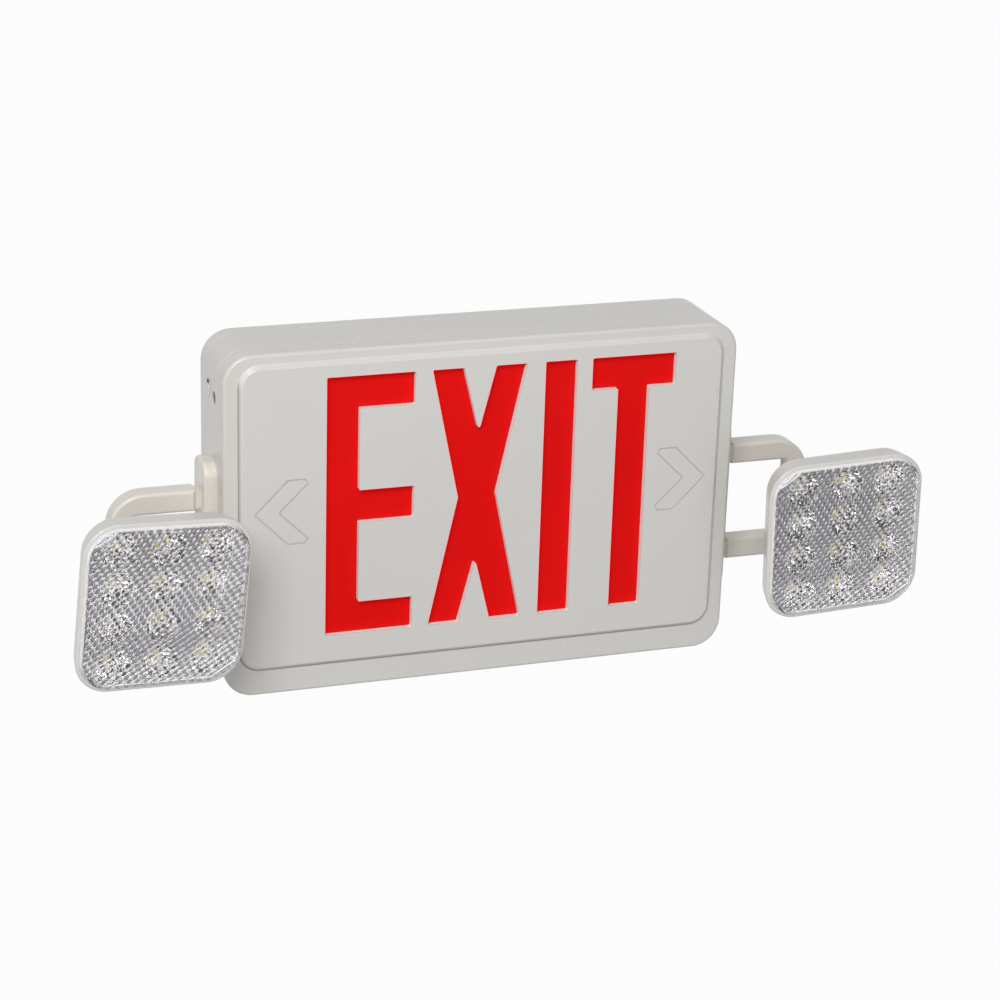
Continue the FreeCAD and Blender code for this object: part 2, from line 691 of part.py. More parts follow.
def battery_strap():
    """Bent strip that holds the battery to the bulkhead."""
    width = 2 * CELL_R * CELLS
    far = width / 2 + SLIP
    back = BULKHEAD_BACK - 2 * CELL_R - SLIP
    z0, z1 = BATTERY_Z - STRAP_W / 2, BATTERY_Z + STRAP_W / 2
    bridge = block(BATTERY_X - far - STRAP_T, BATTERY_X + far + STRAP_T, back - STRAP_T, back, z0, z1)
    pieces = []
    for sign in (-1, 1):
        x0, x1 = sorted((BATTERY_X + sign * far, BATTERY_X + sign * (far + STRAP_T)))
        pieces.append(block(x0, x1, back, BULKHEAD_BACK, z0, z1))
        x0, x1 = sorted((BATTERY_X + sign * far, BATTERY_X + sign * (far + STRAP_FOOT)))
        pieces.append(block(x0, x1, BULKHEAD_BACK - STRAP_T, BULKHEAD_BACK, z0, z1))
    return bridge.fuse(pieces)


# ---------------------------------------------------------- pads and arms ---
def pad_screw_levels():
    """Levels of the two screws that hold a pad."""
    reach = PAD_Z / 2 - 9
    return (PAD_LEVEL - reach, PAD_LEVEL + reach)


def mounting_pad():
    """Rounded pad on the housing's right side that carries an arm."""
    outer = slab(PAD_Y, PAD_Z, PAD_R, 0, PAD_OUT)
    outer = outer.makeFillet(PAD_EDGE_R, edges_at_depth(outer, PAD_OUT))
    hollow = slab(PAD_Y - 2 * PAD_WALL, PAD_Z - 2 * PAD_WALL, PAD_R - PAD_WALL, -1, PAD_OUT - PAD_WALL)
    pad = outer.cut(hollow)
    bosses = [rod(PAD_SCREW_HEAD_R, Vector(0, 0, sign * (PAD_Z / 2 - 9)),
                  Vector(0, -PAD_OUT + PAD_WALL / 2, sign * (PAD_Z / 2 - 9))) for sign in (-1, 1)]
    cores = [rod(PAD_SCREW_R, Vector(0, 1, sign * (PAD_Z / 2 - 9)),
                 Vector(0, -PAD_SCREW_LEN + WALL, sign * (PAD_Z / 2 - 9))) for sign in (-1, 1)]
    pad = pad.fuse(bosses).cut(cores)
    pad.Placement = Placement(Vector(SIDE_X, -PAD_DEPTH, PAD_LEVEL),
                              Rotation(Vector(0, 0, 1), 90))
    return pad


def pad_screws(side):
    """The two screws inside the wall that hold one pad."""
    screws = []
    for z in pad_screw_levels():
        head = rod(PAD_SCREW_HEAD_R, Vector(side * INNER_X, -PAD_DEPTH, z),
                   Vector(side * (INNER_X - PAD_SCREW_HEAD_T), -PAD_DEPTH, z))
        shank = rod(PAD_SCREW_R - SLIP, Vector(side * (INNER_X - 1), -PAD_DEPTH, z),
                    Vector(side * (INNER_X + PAD_SCREW_LEN - FIT), -PAD_DEPTH, z))
        screws.append(head.fuse(shank))
    return Part.makeCompound(screws)


def lamp_arm(rise):
    """Open loop that stands out of the right pad, with a round journal."""
    near, far = SIDE_X + PAD_OUT + NECK_LEN, SIDE_X + ARM_REACH
    top, bottom = SIDE_Z + ARM_H / 2, SIDE_Z - ARM_H / 2
    inside = far - ARM_POST_W
    corners = [(near, bottom, 0), (far, bottom, ARM_CORNER_R), (far, top, ARM_CORNER_R),
               (near, top, 0), (near, top - ARM_BAR, 0), (inside, top - ARM_BAR, ARM_INNER_R),
               (inside, bottom + ARM_BAR, ARM_INNER_R), (near, bottom + ARM_BAR, 0)]
    start, end = SIDE_DEPTH - ARM_D / 2, SIDE_DEPTH + ARM_D / 2
    arm = fill(outline(corners, start), ARM_D)
    arm = arm.makeFillet(ARM_EDGE_R, edges_at_depth(arm, start) + edges_at_depth(arm, end))
    gap = COLLAR_H / 2 + FIT
    low, high = SIDE_Z + rise - gap, SIDE_Z + rise + gap
    arm = arm.cut(block(inside - 1, far + 1, start - 1, end + 1, low, high))
    axis = SIDE_X + POST_OUT
    journal = rod(JOURNAL_R, Vector(axis, -SIDE_DEPTH, low), Vector(axis, -SIDE_DEPTH, high))
    necks = [block(SIDE_X + PAD_OUT, near, start + NECK_INSET, end - NECK_INSET,
                   z + NECK_INSET, z + ARM_BAR - NECK_INSET) for z in (bottom, top - ARM_BAR)]
    return arm.fuse([journal] + necks)


# -------------------------------------------------------------- lamp head ---
# The pieces below are built round the arm's upright, as if the lamp looked
# straight ahead: the upright's axis is Z and the lamp faces -Y.
def collar_body():
    """Both halves of the collar in one piece, before they are parted."""
    half_h = COLLAR_H / 2
    sleeve = rod(COLLAR_R, Vector(0, 0, -half_h), Vector(0, 0, half_h))
    lugs = block(-LUG_REACH, LUG_REACH, -LUG_T, LUG_T, -LUG_H / 2, LUG_H / 2)
    lugs = lugs.makeFillet(1.5, [edge for edge in lugs.Edges
                                 if abs(edge.BoundBox.XMin) > 1 and edge.BoundBox.YLength > 1])
    bore = rod(JOURNAL_R + RUN, Vector(0, 0, -half_h - 1), Vector(0, 0, half_h + 1))
    return sleeve.fuse(lugs).cut(bore)


def ears():
    """The collar's two ears, drilled for the tilt pin."""
    pair = []
    for sign in (-1, 1):
        x0, x1 = sorted((sign * EAR_GAP / 2, sign * (EAR_GAP / 2 + EAR_T)))
        plate = block(x0, x1, LUG_T + 1, PIVOT_OUT, -EAR_R, EAR_R)
        end = rod(EAR_R, Vector(x0, -PIVOT_OUT, 0), Vector(x1, -PIVOT_OUT, 0))
        pair.append(plate.fuse(end))
    return pair


def swivel_collar():
    """Front half of the collar, with the ears."""
    front = block(-50, 50, SLIP, 60, -50, 50)
    collar = collar_body().fuse(ears()).common(front)
    drills = [rod(PIN_R, Vector(-20, -PIVOT_OUT, 0), Vector(20, -PIVOT_OUT, 0))]
    for x in (-CLAMP_SCREW_X, CLAMP_SCREW_X):
        drills.append(rod(CLAMP_SCREW_R, Vector(x, 0, 0), Vector(x, -LUG_T - 1, 0)))
    return collar.cut(drills)


def collar_cap():
    """Rear half of the collar."""
    cap = collar_body().common(block(-50, 50, -60, -SLIP, -50, 50))
    seats = [rod(CLAMP_HEAD_R + FIT, Vector(x, LUG_T, 0), Vector(x, COLLAR_R, 0))
             for x in (-CLAMP_SCREW_X, CLAMP_SCREW_X)]
    drills = [rod(CLAMP_SCREW_R, Vector(x, LUG_T + 1, 0), Vector(x, -1, 0))
              for x in (-CLAMP_SCREW_X, CLAMP_SCREW_X)]
    return cap.cut(seats + drills)


def clamp_screws():
    """Two screws that close the collar."""
    screws = []
    for x in (-CLAMP_SCREW_X, CLAMP_SCREW_X):
        head = rod(CLAMP_HEAD_R, Vector(x, LUG_T, 0), Vector(x, LUG_T + CLAMP_HEAD_T, 0))
        shank = rod(CLAMP_SCREW_R, Vector(x, LUG_T, 0), Vector(x, -LUG_T + 0.5, 0))
        screws.append(head.fuse(shank))
    return Part.makeCompound(screws)


def tilt_pin():
    """Headed pin through the ears and the stem's tongue."""
    half = EAR_GAP / 2 + EAR_T
    axis = lambda x: Vector(x, -PIVOT_OUT, 0)
    shank = rod(PIN_R, axis(-half), axis(half))
    return shank.fuse([rod(PIN_HEAD_R, axis(-half - PIN_HEAD_T), axis(-half)),
                       rod(PIN_HEAD_R, axis(half), axis(half + PIN_HEAD_T))])


def lamp_stem():
    """Tongue, flange and spigot that carry the lamp."""
    tongue_end = PIVOT_OUT + FLANGE_OUT
    eye = rod(TONGUE_R, Vector(-TONGUE_T / 2, -PIVOT_OUT, 0), Vector(TONGUE_T / 2, -PIVOT_OUT, 0))
    web = block(-TONGUE_T / 2, TONGUE_T / 2, PIVOT_OUT, tongue_end, -TONGUE_R, TONGUE_R)
    boss_face = LAMP_OUT - BOSS_BACK - FIT
    retainer_front = LAMP_OUT - LAMP_BACK_IN + FIT + RETAINER_T
    forward = lambda depth: Vector(0, -depth, 0)
    flange = rod(FLANGE_R, forward(tongue_end), forward(tongue_end + FLANGE_T))
    shaft = rod(STEM_R, forward(tongue_end), forward(boss_face))
    seat = rod(FLANGE_R, forward(boss_face - FLANGE_T / 2), forward(boss_face))
    spigot = rod(SPIGOT_R, forward(boss_face - 1), forward(retainer_front + 0.5))
    stem = eye.fuse([web, flange, shaft, seat, spigot])
    return stem.cut(rod(PIN_R + RUN, Vector(-20, -PIVOT_OUT, 0), Vector(20, -PIVOT_OUT, 0)))


def stem_retainer():
    """Ring on the spigot that keeps the lamp on its stem."""
    back = LAMP_OUT - LAMP_BACK_IN + FIT
    ring = rod(RETAINER_R, Vector(0, -back, 0), Vector(0, -back - RETAINER_T, 0))
    return ring.cut(rod(SPIGOT_R, Vector(0, -back + 1, 0), Vector(0, -back - RETAINER_T - 1, 0)))


def lamp_wire(width, height, radius, behind):
    """Rounded rectangle at a distance behind the lamp's rim."""
    return rounded_wire(width, height, radius, LAMP_OUT - behind)


def lamp_shell(inset, front, side, back):
    """Solid with the lamp's outer form, or its hollow when given an inset."""
    side_w = LAMP_W - 2 * LAMP_SIDE_TAPER - 2 * inset
    side_h = LAMP_W - 2 * LAMP_TOP_TAPER - 2 * inset
    back_w = LAMP_BACK_W - 2 * inset
    rim = lamp_wire(LAMP_W - 2 * inset, LAMP_W - 2 * inset, LAMP_R - inset, front)
    waist = lamp_wire(side_w, side_h, LAMP_R - 2 - inset, side)
    end = lamp_wire(back_w, back_w, LAMP_BACK_R - inset, back)
    return taper(rim, waist).fuse(taper(waist, end)).removeSplitter()


def lamp_housing():
    """Moulded lamp body: rim, drafted sides and a sloping back with a boss."""
    outer = lamp_shell(0, 0, LAMP_SIDE_D, LAMP_BACK_D)
    outer = outer.makeFillet(LAMP_RIM_R, edges_at_depth(outer, LAMP_OUT))
    outer = outer.makeFillet(LAMP_WAIST_R, edges_at_depth(outer, LAMP_OUT - LAMP_SIDE_D))
    outer = outer.makeFillet(LAMP_TAIL_R, edges_at_depth(outer, LAMP_OUT - LAMP_BACK_D))
    posts = [rod(POST_R, Vector(x, -(LAMP_OUT - REFLECTOR_BACK - BOARD_T), z),
                 Vector(x, -(LAMP_OUT - LAMP_BACK_D), z)).common(outer)
             for x in (-POST_X, POST_X) for z in (-POST_Z, POST_Z)]
    seat_w = LAMP_W - 2 * LAMP_WALL
    seat = fill(lamp_wire(seat_w, seat_w, LAMP_R - LAMP_WALL, LEDGE_D), LEDGE_D + 1)
    hollow = lamp_shell(LAMP_WALL + LEDGE_T, LEDGE_D, LAMP_SIDE_D, LAMP_BACK_IN)
    mouth_w = LAMP_W - 2 * (LAMP_WALL + LEDGE_T)
    mouth = fill(lamp_wire(mouth_w, mouth_w, LAMP_R - LAMP_WALL - LEDGE_T, LEDGE_D + 0.01), 1)
    shell = outer.cut([seat, hollow, mouth])
    boss = rod(FLANGE_R, Vector(0, -(LAMP_OUT - BOSS_BACK), 0), Vector(0, -(LAMP_OUT - LAMP_BACK_D) - 1, 0))
    bore = rod(SPIGOT_R + RUN, Vector(0, 0, 0), Vector(0, -(LAMP_OUT - LAMP_BACK_IN) - 1, 0))
    return shell.fuse(posts + [boss]).cut(bore)


def lamp_lens():
    """Clear cap that stands proud of the rim and seats on the ledge."""
    width = LAMP_W - 2 * LAMP_WALL - 2 * SLIP
    radius = LAMP_R - LAMP_WALL - SLIP
    cap = fill(lamp_wire(width, width, radius, LEDGE_D), LEDGE_D + LENS_PROUD)
    cap = cap.makeFillet(LENS_EDGE_R, edges_at_depth(cap, LAMP_OUT + LENS_PROUD))
    hollow_w = width - 2 * LENS_WALL
    hollow = fill(lamp_wire(hollow_w, hollow_w, radius - LENS_WALL, LEDGE_D + 1),
                  LEDGE_D + 1 + LENS_PROUD - LENS_T)
    return cap.cut(hollow)


def cup_places():
    """Centres of the twelve reflector cups."""
    return [((i - (CUP_COLUMNS - 1) / 2) * CUP_PITCH_X, (j - (CUP_ROWS - 1) / 2) * CUP_PITCH_Z)
            for i in range(CUP_COLUMNS) for j in range(CUP_ROWS)]


def hollow_wire(behind, inset):
    """Outline of the lamp's hollow at a distance behind the rim, made smaller by an inset."""
    share = (behind - LEDGE_D) / (LAMP_SIDE_D - LEDGE_D)
    width = LAMP_W - 2 * (LAMP_WALL + LEDGE_T + inset + share * LAMP_SIDE_TAPER)
    height = LAMP_W - 2 * (LAMP_WALL + LEDGE_T + inset + share * LAMP_TOP_TAPER)
    return lamp_wire(width, height, LAMP_R - LAMP_WALL - LEDGE_T - inset, behind)


def reflector_cone(x, z, wall):
    """Inside of one cup, or its outside when given a wall."""
    start = Vector(x, -(LAMP_OUT - REFLECTOR_BACK), z)
    return Part.makeCone(CUP_BASE_R + wall, CUP_R + wall, REFLECTOR_BACK - REFLECTOR_FRONT, start,
                         Vector(0, -1, 0))


def lamp_reflector():
    """Bright moulding: a front web with a tapered cup for each light source."""
    front_w = LAMP_W - 2 * (LAMP_WALL + SLIP + LENS_WALL + FIT)
    front = lamp_wire(front_w, front_w, LAMP_R - LAMP_WALL - LENS_WALL - FIT, REFLECTOR_FRONT)
    envelope = taper(hollow_wire(REFLECTOR_BACK, FIT), front)
    web = fill(lamp_wire(LAMP_W, LAMP_W, LAMP_R, REFLECTOR_FRONT + CUP_T), CUP_T).common(envelope)
    shells = [reflector_cone(x, z, CUP_T).common(envelope) for x, z in cup_places()]
    return web.fuse(shells).cut([reflector_cone(x, z, 0) for x, z in cup_places()])


def lamp_board():
    """Board that carries the light sources."""
    return fill(hollow_wire(REFLECTOR_BACK + BOARD_T, FIT), BOARD_T)


def lamp_leds():
    """Light-emitting diodes, one in each cup."""
    back = LAMP_OUT - REFLECTOR_BACK
    half = LED_SIZE / 2
    chips = []
    for x, z in cup_places():
        chip = block(x - half, x + half, back, back + LED_T, z - half, z + half)
        dome = rod(LED_DOME_R, Vector(x, -back - LED_T, z), Vector(x, -back - LED_T - LED_DOME_H, z))
        chips.append(chip.fuse(dome))
    return Part.makeCompound(chips)


def aim_placements(aim):
    """Placements of the collar, the stem and the lamp for one aim."""
    foot = Vector(aim["side"] * (SIDE_X + POST_OUT), -SIDE_DEPTH, SIDE_Z + aim["rise"])
    pan = Placement(foot, Rotation(Vector(0, 0, 1), aim["pan"]))
    pivot = Vector(0, -PIVOT_OUT, 0)
    tilt = Placement(Vector(0, 0, 0), Rotation(Vector(1, 0, 0), aim["tilt"]), pivot)
    turn = Placement(Vector(0, 0, 0), Rotation(Vector(0, 1, 0), aim["turn"]))
    stem = pan.multiply(tilt)
    return pan, stem, stem.multiply(turn)


def export_placed(name, shape, placement):
    """Move a piece from the lamp's own frame to its place and write it."""
    placed = shape.copy()
    placed.Placement = placement.multiply(placed.Placement)
    export(name, placed)


def export_lamp(hand, aim):
    """Write every piece of one lamp head and its arm."""
    export("mounting_pad_" + hand, mirrored(mounting_pad(), aim["side"]))
    export("pad_screws_" + hand, pad_screws(aim["side"]))
    export("lamp_arm_" + hand, mirrored(lamp_arm(aim["rise"]), aim["side"]))
    collar, stem, lamp = aim_placements(aim)
    pieces = {
        "swivel_collar": (swivel_collar, collar), "collar_cap": (collar_cap, collar),
        "clamp_screws": (clamp_screws, collar), "tilt_pin": (tilt_pin, collar),
        "lamp_stem": (lamp_stem, stem), "stem_retainer": (stem_retainer, stem),
        "lamp_housing": (lamp_housing, lamp), "lamp_lens": (lamp_lens, lamp),
        "lamp_reflector": (lamp_reflector, lamp), "lamp_board": (lamp_board, lamp),
        "lamp_leds": (lamp_leds, lamp),
    }
    for name, (build, placement) in pieces.items():
        export_placed(name + "_" + hand, build(), placement)


def main():
    """Build and write every node."""
    os.makedirs("parts", exist_ok=True)
    fixed = {
        "back_plate": back_plate(),
        "housing_frame": housing_frame(),
        "front_frame": front_frame(),
        "face_plate": face_plate(),
        "legend_panel": legend_sheet(FACE_BACK, PANEL_T),
        "diffuser_sheet": legend_sheet(FACE_BACK - PANEL_T, DIFFUSER_T),
        "light_strips": light_strips(),
        "strip_leds": strip_leds(),
        "side_board": side_board(),
        "test_switch": test_switch(),
        "test_button": test_button(),
        "status_led": status_led(),
        "circuit_board": circuit_board(),
        "board_screws": board_screws(),
        "transformer": transformer(),
        "capacitors": capacitors(),
        "relay": relay(),
        "terminal_block": terminal_block(),
        "battery_pack": battery_pack(),
        "battery_strap": battery_strap(),
    }
    for name, shape in fixed.items():
        export(name, shape)
    for hand, aim in AIM.items():
        export_lamp(hand, aim)


main()
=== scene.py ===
import json
import logging
import math
from dataclasses import dataclass, field
from enum import Enum
from typing import Iterable

import bmesh
import bpy
from mathutils import Matrix, Vector


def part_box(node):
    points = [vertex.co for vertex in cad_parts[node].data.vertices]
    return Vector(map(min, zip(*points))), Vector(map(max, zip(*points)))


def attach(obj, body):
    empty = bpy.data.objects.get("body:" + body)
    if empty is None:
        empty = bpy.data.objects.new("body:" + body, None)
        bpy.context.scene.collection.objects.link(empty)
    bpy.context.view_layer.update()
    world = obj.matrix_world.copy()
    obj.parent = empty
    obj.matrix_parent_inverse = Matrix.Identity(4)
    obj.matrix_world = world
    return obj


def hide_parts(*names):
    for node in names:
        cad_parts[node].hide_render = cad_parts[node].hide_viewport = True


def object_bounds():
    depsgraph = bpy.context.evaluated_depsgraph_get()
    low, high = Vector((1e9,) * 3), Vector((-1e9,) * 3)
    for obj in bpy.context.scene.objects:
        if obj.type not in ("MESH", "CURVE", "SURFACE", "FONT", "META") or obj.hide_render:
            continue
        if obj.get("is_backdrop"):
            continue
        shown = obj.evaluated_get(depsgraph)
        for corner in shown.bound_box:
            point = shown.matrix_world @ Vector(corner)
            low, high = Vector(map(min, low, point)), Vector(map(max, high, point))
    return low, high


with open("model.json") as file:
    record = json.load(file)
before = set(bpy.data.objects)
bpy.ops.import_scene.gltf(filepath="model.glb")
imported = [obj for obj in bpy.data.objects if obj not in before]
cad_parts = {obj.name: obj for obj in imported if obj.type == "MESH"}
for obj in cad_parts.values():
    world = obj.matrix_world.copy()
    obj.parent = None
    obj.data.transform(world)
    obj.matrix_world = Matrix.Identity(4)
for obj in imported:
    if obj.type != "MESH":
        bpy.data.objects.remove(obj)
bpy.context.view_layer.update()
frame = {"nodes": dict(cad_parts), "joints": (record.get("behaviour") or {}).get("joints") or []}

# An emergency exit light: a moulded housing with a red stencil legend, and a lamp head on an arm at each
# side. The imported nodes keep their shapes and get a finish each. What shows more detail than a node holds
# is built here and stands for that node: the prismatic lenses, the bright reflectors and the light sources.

LOG = logging.getLogger("exit_light")
Triple = tuple[float, float, float]
Colour = Triple
Span = tuple[float, float]


class Hand(Enum):
    """The side of the housing that a lamp hangs on."""

    LEFT = "left"
    RIGHT = "right"


class Operation(Enum):
    """What one solid does to another."""

    CUT = "DIFFERENCE"
    MEET = "INTERSECT"


def linear(colour: Colour) -> tuple[float, float, float, float]:
    """Turns a display colour into the linear one that a shader socket takes.

    Args:
        colour: Red, green and blue, each 0 to 255.

    Returns:
        Linear red, green, blue and an alpha of 1.
    """
    parts = [c / 255 for c in colour]
    values = [c / 12.92 if c <= 0.04045 else ((c + 0.055) / 1.055) ** 2.4 for c in parts]
    return (*values, 1.0)


# ------------------------------------------------------------------------------------------------ nodes ---
def add_node(tree: bpy.types.NodeTree, kind: str, settings: dict | None = None,
             **sockets: object) -> bpy.types.Node:
    """Adds a node to a tree and fills its inputs.

    Args:
        tree: The node tree.
        kind: The node's type.
        settings: The node's own properties.
        **sockets: Values or source sockets, by input name with _ for a space, or by i and a number.

    Returns:
        The node.
    """
    node = tree.nodes.new(kind)
    for key, value in (settings or {}).items():
        setattr(node, key, value)
    for key, value in sockets.items():
        index = int(key[1:]) if key[0] == "i" and key[1:].isdigit() else key.replace("_", " ")
        if isinstance(value, bpy.types.NodeSocket):
            tree.links.new(value, node.inputs[index])
        else:
            node.inputs[index].default_value = value
    return node


def ramp(tree: bpy.types.NodeTree, value: bpy.types.NodeSocket, span: Span,
         to: Span = (0.0, 1.0)) -> bpy.types.NodeSocket:
    """Maps one span of a value onto another and holds it to that span's ends.

    Args:
        tree: The node tree.
        value: The value's socket.
        span: The value's two ends.
        to: What they become.

    Returns:
        The mapped value's socket.
    """
    node = add_node(tree, "ShaderNodeMapRange", Value=value, From_Min=span[0], From_Max=span[1],
                    To_Min=to[0], To_Max=to[1])
    return node.outputs["Result"]


def worked(tree: bpy.types.NodeTree, operation: str, *values: object,
           clamp: bool = False) -> bpy.types.NodeSocket:
    """Works a number out from other numbers.

    Args:
        tree: The node tree.
        operation: The Math node's operation.
        *values: Numbers or source sockets.
        clamp: Whether the result is held to 0 and 1.

    Returns:
        The result's socket.
    """
    inputs = {f"i{index}": value for index, value in enumerate(values)}
    node = add_node(tree, "ShaderNodeMath", {"operation": operation, "use_clamp": clamp}, **inputs)
    return node.outputs[0]


def blended(tree: bpy.types.NodeTree, factor: bpy.types.NodeSocket, low: object,
            high: object) -> bpy.types.NodeSocket:
    """Blends two colours.

    Args:
        tree: The node tree.
        factor: The share of the second colour.
        low: The first colour, linear, or its socket.
        high: The second one.

    Returns:
        The blend's socket.
    """
    node = add_node(tree, "ShaderNodeMix", {"data_type": "RGBA"}, Factor=factor, i6=low, i7=high)
    return node.outputs[2]


def along(tree: bpy.types.NodeTree, normal: bpy.types.NodeSocket, way: Triple) -> bpy.types.NodeSocket:
    """Tells how far a normal points along a direction.

    Args:
        tree: The node tree.
        normal: The normal's socket.
        way: The direction.

    Returns:
        The socket of their dot product.
    """
    node = add_node(tree, "ShaderNodeVectorMath", {"operation": "DOT_PRODUCT"}, i0=normal, i1=way)
    return node.outputs["Value"]


# ---------------------------------------------------------------------------------------------- effects ---
@dataclass
class EffectGroup:
    """A node group with named sockets, built once and shared by the finishes."""

    name: str
    tree: bpy.types.ShaderNodeTree = field(init=False)
    entry: bpy.types.Node = field(init=False)
    exit: bpy.types.Node = field(init=False)

    def __post_init__(self) -> None:
        """Starts an empty group with its two end nodes."""
        self.tree = bpy.data.node_groups.new(self.name, "ShaderNodeTree")
        self.entry = self.tree.nodes.new("NodeGroupInput")
        self.exit = self.tree.nodes.new("NodeGroupOutput")

    def takes(self, name: str, default: float | None = None) -> None:
        """Adds an input.

        Args:
            name: The socket's name.
            default: Its value, or None for a vector.
        """
        kind = "NodeSocketVector" if default is None else "NodeSocketFloat"
        socket = self.tree.interface.new_socket(name, in_out="INPUT", socket_type=kind)
        if default is not None:
            socket.default_value = default

    def gives(self, name: str, source: bpy.types.NodeSocket) -> None:
        """Adds an output.

        Args:
            name: The socket's name.
            source: What feeds it.
        """
        self.tree.interface.new_socket(name, in_out="OUTPUT", socket_type="NodeSocketFloat")
        self.tree.links.new(source, self.exit.inputs[name])


@dataclass(frozen=True)
class SurfaceEffect:
    """A moulded or rolled surface: fine grain, broad clouding and faint wipe marks."""

    grain: float = 2500.0
    clouding: float = 9.0
    cloud_span: Span = (0.3, 0.7)
    wipe_scale: float = 140.0
    wipe_stretch: Triple = (1.0, 1.0, 0.18)
    wipe_turn: Triple = (0.0, 0.5, 0.0)
    wipe_span: Span = (0.52, 0.78)

    def build(self) -> bpy.types.ShaderNodeTree:
        """Builds the effect's node group.

        Returns:
            A group with the outputs Height, Cloud and Wipe, each 0 to 1.
        """
        group = EffectGroup("surface")
        group.takes("Vector")
        group.takes("Grain", self.grain)
        group.takes("Clouding", self.clouding)
        read = group.entry.outputs
        place = read["Vector"]
        grain = add_node(group.tree, "ShaderNodeTexNoise", Vector=place, Scale=read["Grain"], Detail=3.0,
                         Roughness=0.6)
        cloud = add_node(group.tree, "ShaderNodeTexNoise", Vector=place, Scale=read["Clouding"], Detail=4.0,
                         Roughness=0.55)
        drawn = add_node(group.tree, "ShaderNodeMapping", Vector=place, Scale=self.wipe_stretch,
                         Rotation=self.wipe_turn)
        wipe = add_node(group.tree, "ShaderNodeTexNoise", Vector=drawn.outputs["Vector"],
                        Scale=self.wipe_scale, Detail=5.0, Roughness=0.7)
        group.gives("Height", grain.outputs["Fac"])
        group.gives("Cloud", ramp(group.tree, cloud.outputs["Fac"], self.cloud_span))
        group.gives("Wipe", ramp(group.tree, wipe.outputs["Fac"], self.wipe_span))
        return group.tree


@dataclass(frozen=True)
class PrismEffect:
    """The painted light and shade of a field of small prisms, whose cells are one unit apart."""

    uneven_scale: float = 0.9
    uneven_span: Span = (0.35, 0.65)
    gain: Span = (0.6, 1.6)

    def build(self) -> bpy.types.ShaderNodeTree:
        """Builds the effect's node group.

        Returns:
            A group with the output Cell, 1 in the middle of each prism and 0 on its borders.
        """
        group = EffectGroup("prisms")
        group.takes("Vector")
        place = group.entry.outputs["Vector"]
        part = add_node(group.tree, "ShaderNodeSeparateXYZ", Vector=place)
        waves = []
        for axis in ("X", "Y"):
            phase = worked(group.tree, "MULTIPLY", part.outputs[axis], math.pi)
            waves.append(worked(group.tree, "ABSOLUTE", worked(group.tree, "SINE", phase)))
        both = worked(group.tree, "MULTIPLY", *waves)
        uneven = add_node(group.tree, "ShaderNodeTexNoise", Vector=place, Scale=self.uneven_scale,
                          Detail=2.0)
        gain = ramp(group.tree, uneven.outputs["Fac"], self.uneven_span, self.gain)
        group.gives("Cell", worked(group.tree, "MULTIPLY", both, gain, clamp=True))
        return group.tree


SURFACE = SurfaceEffect().build()
PRISMS = PrismEffect().build()
PRISM_CHART = "prisms"


# --------------------------------------------------------------------------------------------- finishes ---
@dataclass(frozen=True)
class Finish:
    """A finish with a grain, a slight clouding of its colour and roughness, and faint wipe marks."""

    name: str
    colour: Colour
    roughness: float
    shade: float = 0.965
    spread: float = 0.06
    grain: float = 2500.0
    relief: float = 0.00002
    clouding: float = 9.0
    sockets: tuple[tuple[str, float], ...] = ()

    def shader(self, tree: bpy.types.NodeTree, place: bpy.types.NodeSocket) -> bpy.types.Node:
        """Adds the surface shader.

        Args:
            tree: The material's tree.
            place: The object coordinates' socket.

        Returns:
            The Principled node.
        """
        surface = add_node(tree, "ShaderNodeGroup", {"node_tree": SURFACE}, Vector=place, Grain=self.grain,
                           Clouding=self.clouding)
        base = linear(self.colour)
        dim = (*(c * self.shade for c in base[:3]), 1.0)
        gloss = ramp(tree, surface.outputs["Wipe"], (0.0, 1.0),
                     (self.roughness, min(1.0, self.roughness + self.spread)))
        bump = add_node(tree, "ShaderNodeBump", Height=surface.outputs["Height"], Distance=self.relief,
                        Strength=1.0)
        shader = add_node(tree, "ShaderNodeBsdfPrincipled", Roughness=gloss, Normal=bump.outputs["Normal"],
                          Base_Color=blended(tree, surface.outputs["Cloud"], base, dim))
        for key, value in self.sockets:
            shader.inputs[key].default_value = value
        return shader

    def overlay(self, tree: bpy.types.NodeTree, shader: bpy.types.Node, mask: bpy.types.NodeSocket,
                colour: Colour) -> None:
        """Lays a colour over the shader's own.

        Args:
            tree: The material's tree.
            shader: The Principled node.
            mask: Where the colour shows.
            colour: The colour.
        """
        base = shader.inputs["Base Color"]
        tree.links.new(blended(tree, mask, base.links[0].from_socket, linear(colour)), base)

    def build(self) -> bpy.types.Material:
        """Builds the material.

        Returns:
            A material named after the finish.
        """
        material = bpy.data.materials.new(self.name)
        material.use_nodes = True
        tree = material.node_tree
        tree.nodes.clear()
        shader = self.shader(tree, add_node(tree, "ShaderNodeTexCoord").outputs["Object"])
        add_node(tree, "ShaderNodeOutputMaterial", Surface=shader.outputs["BSDF"])
        return material


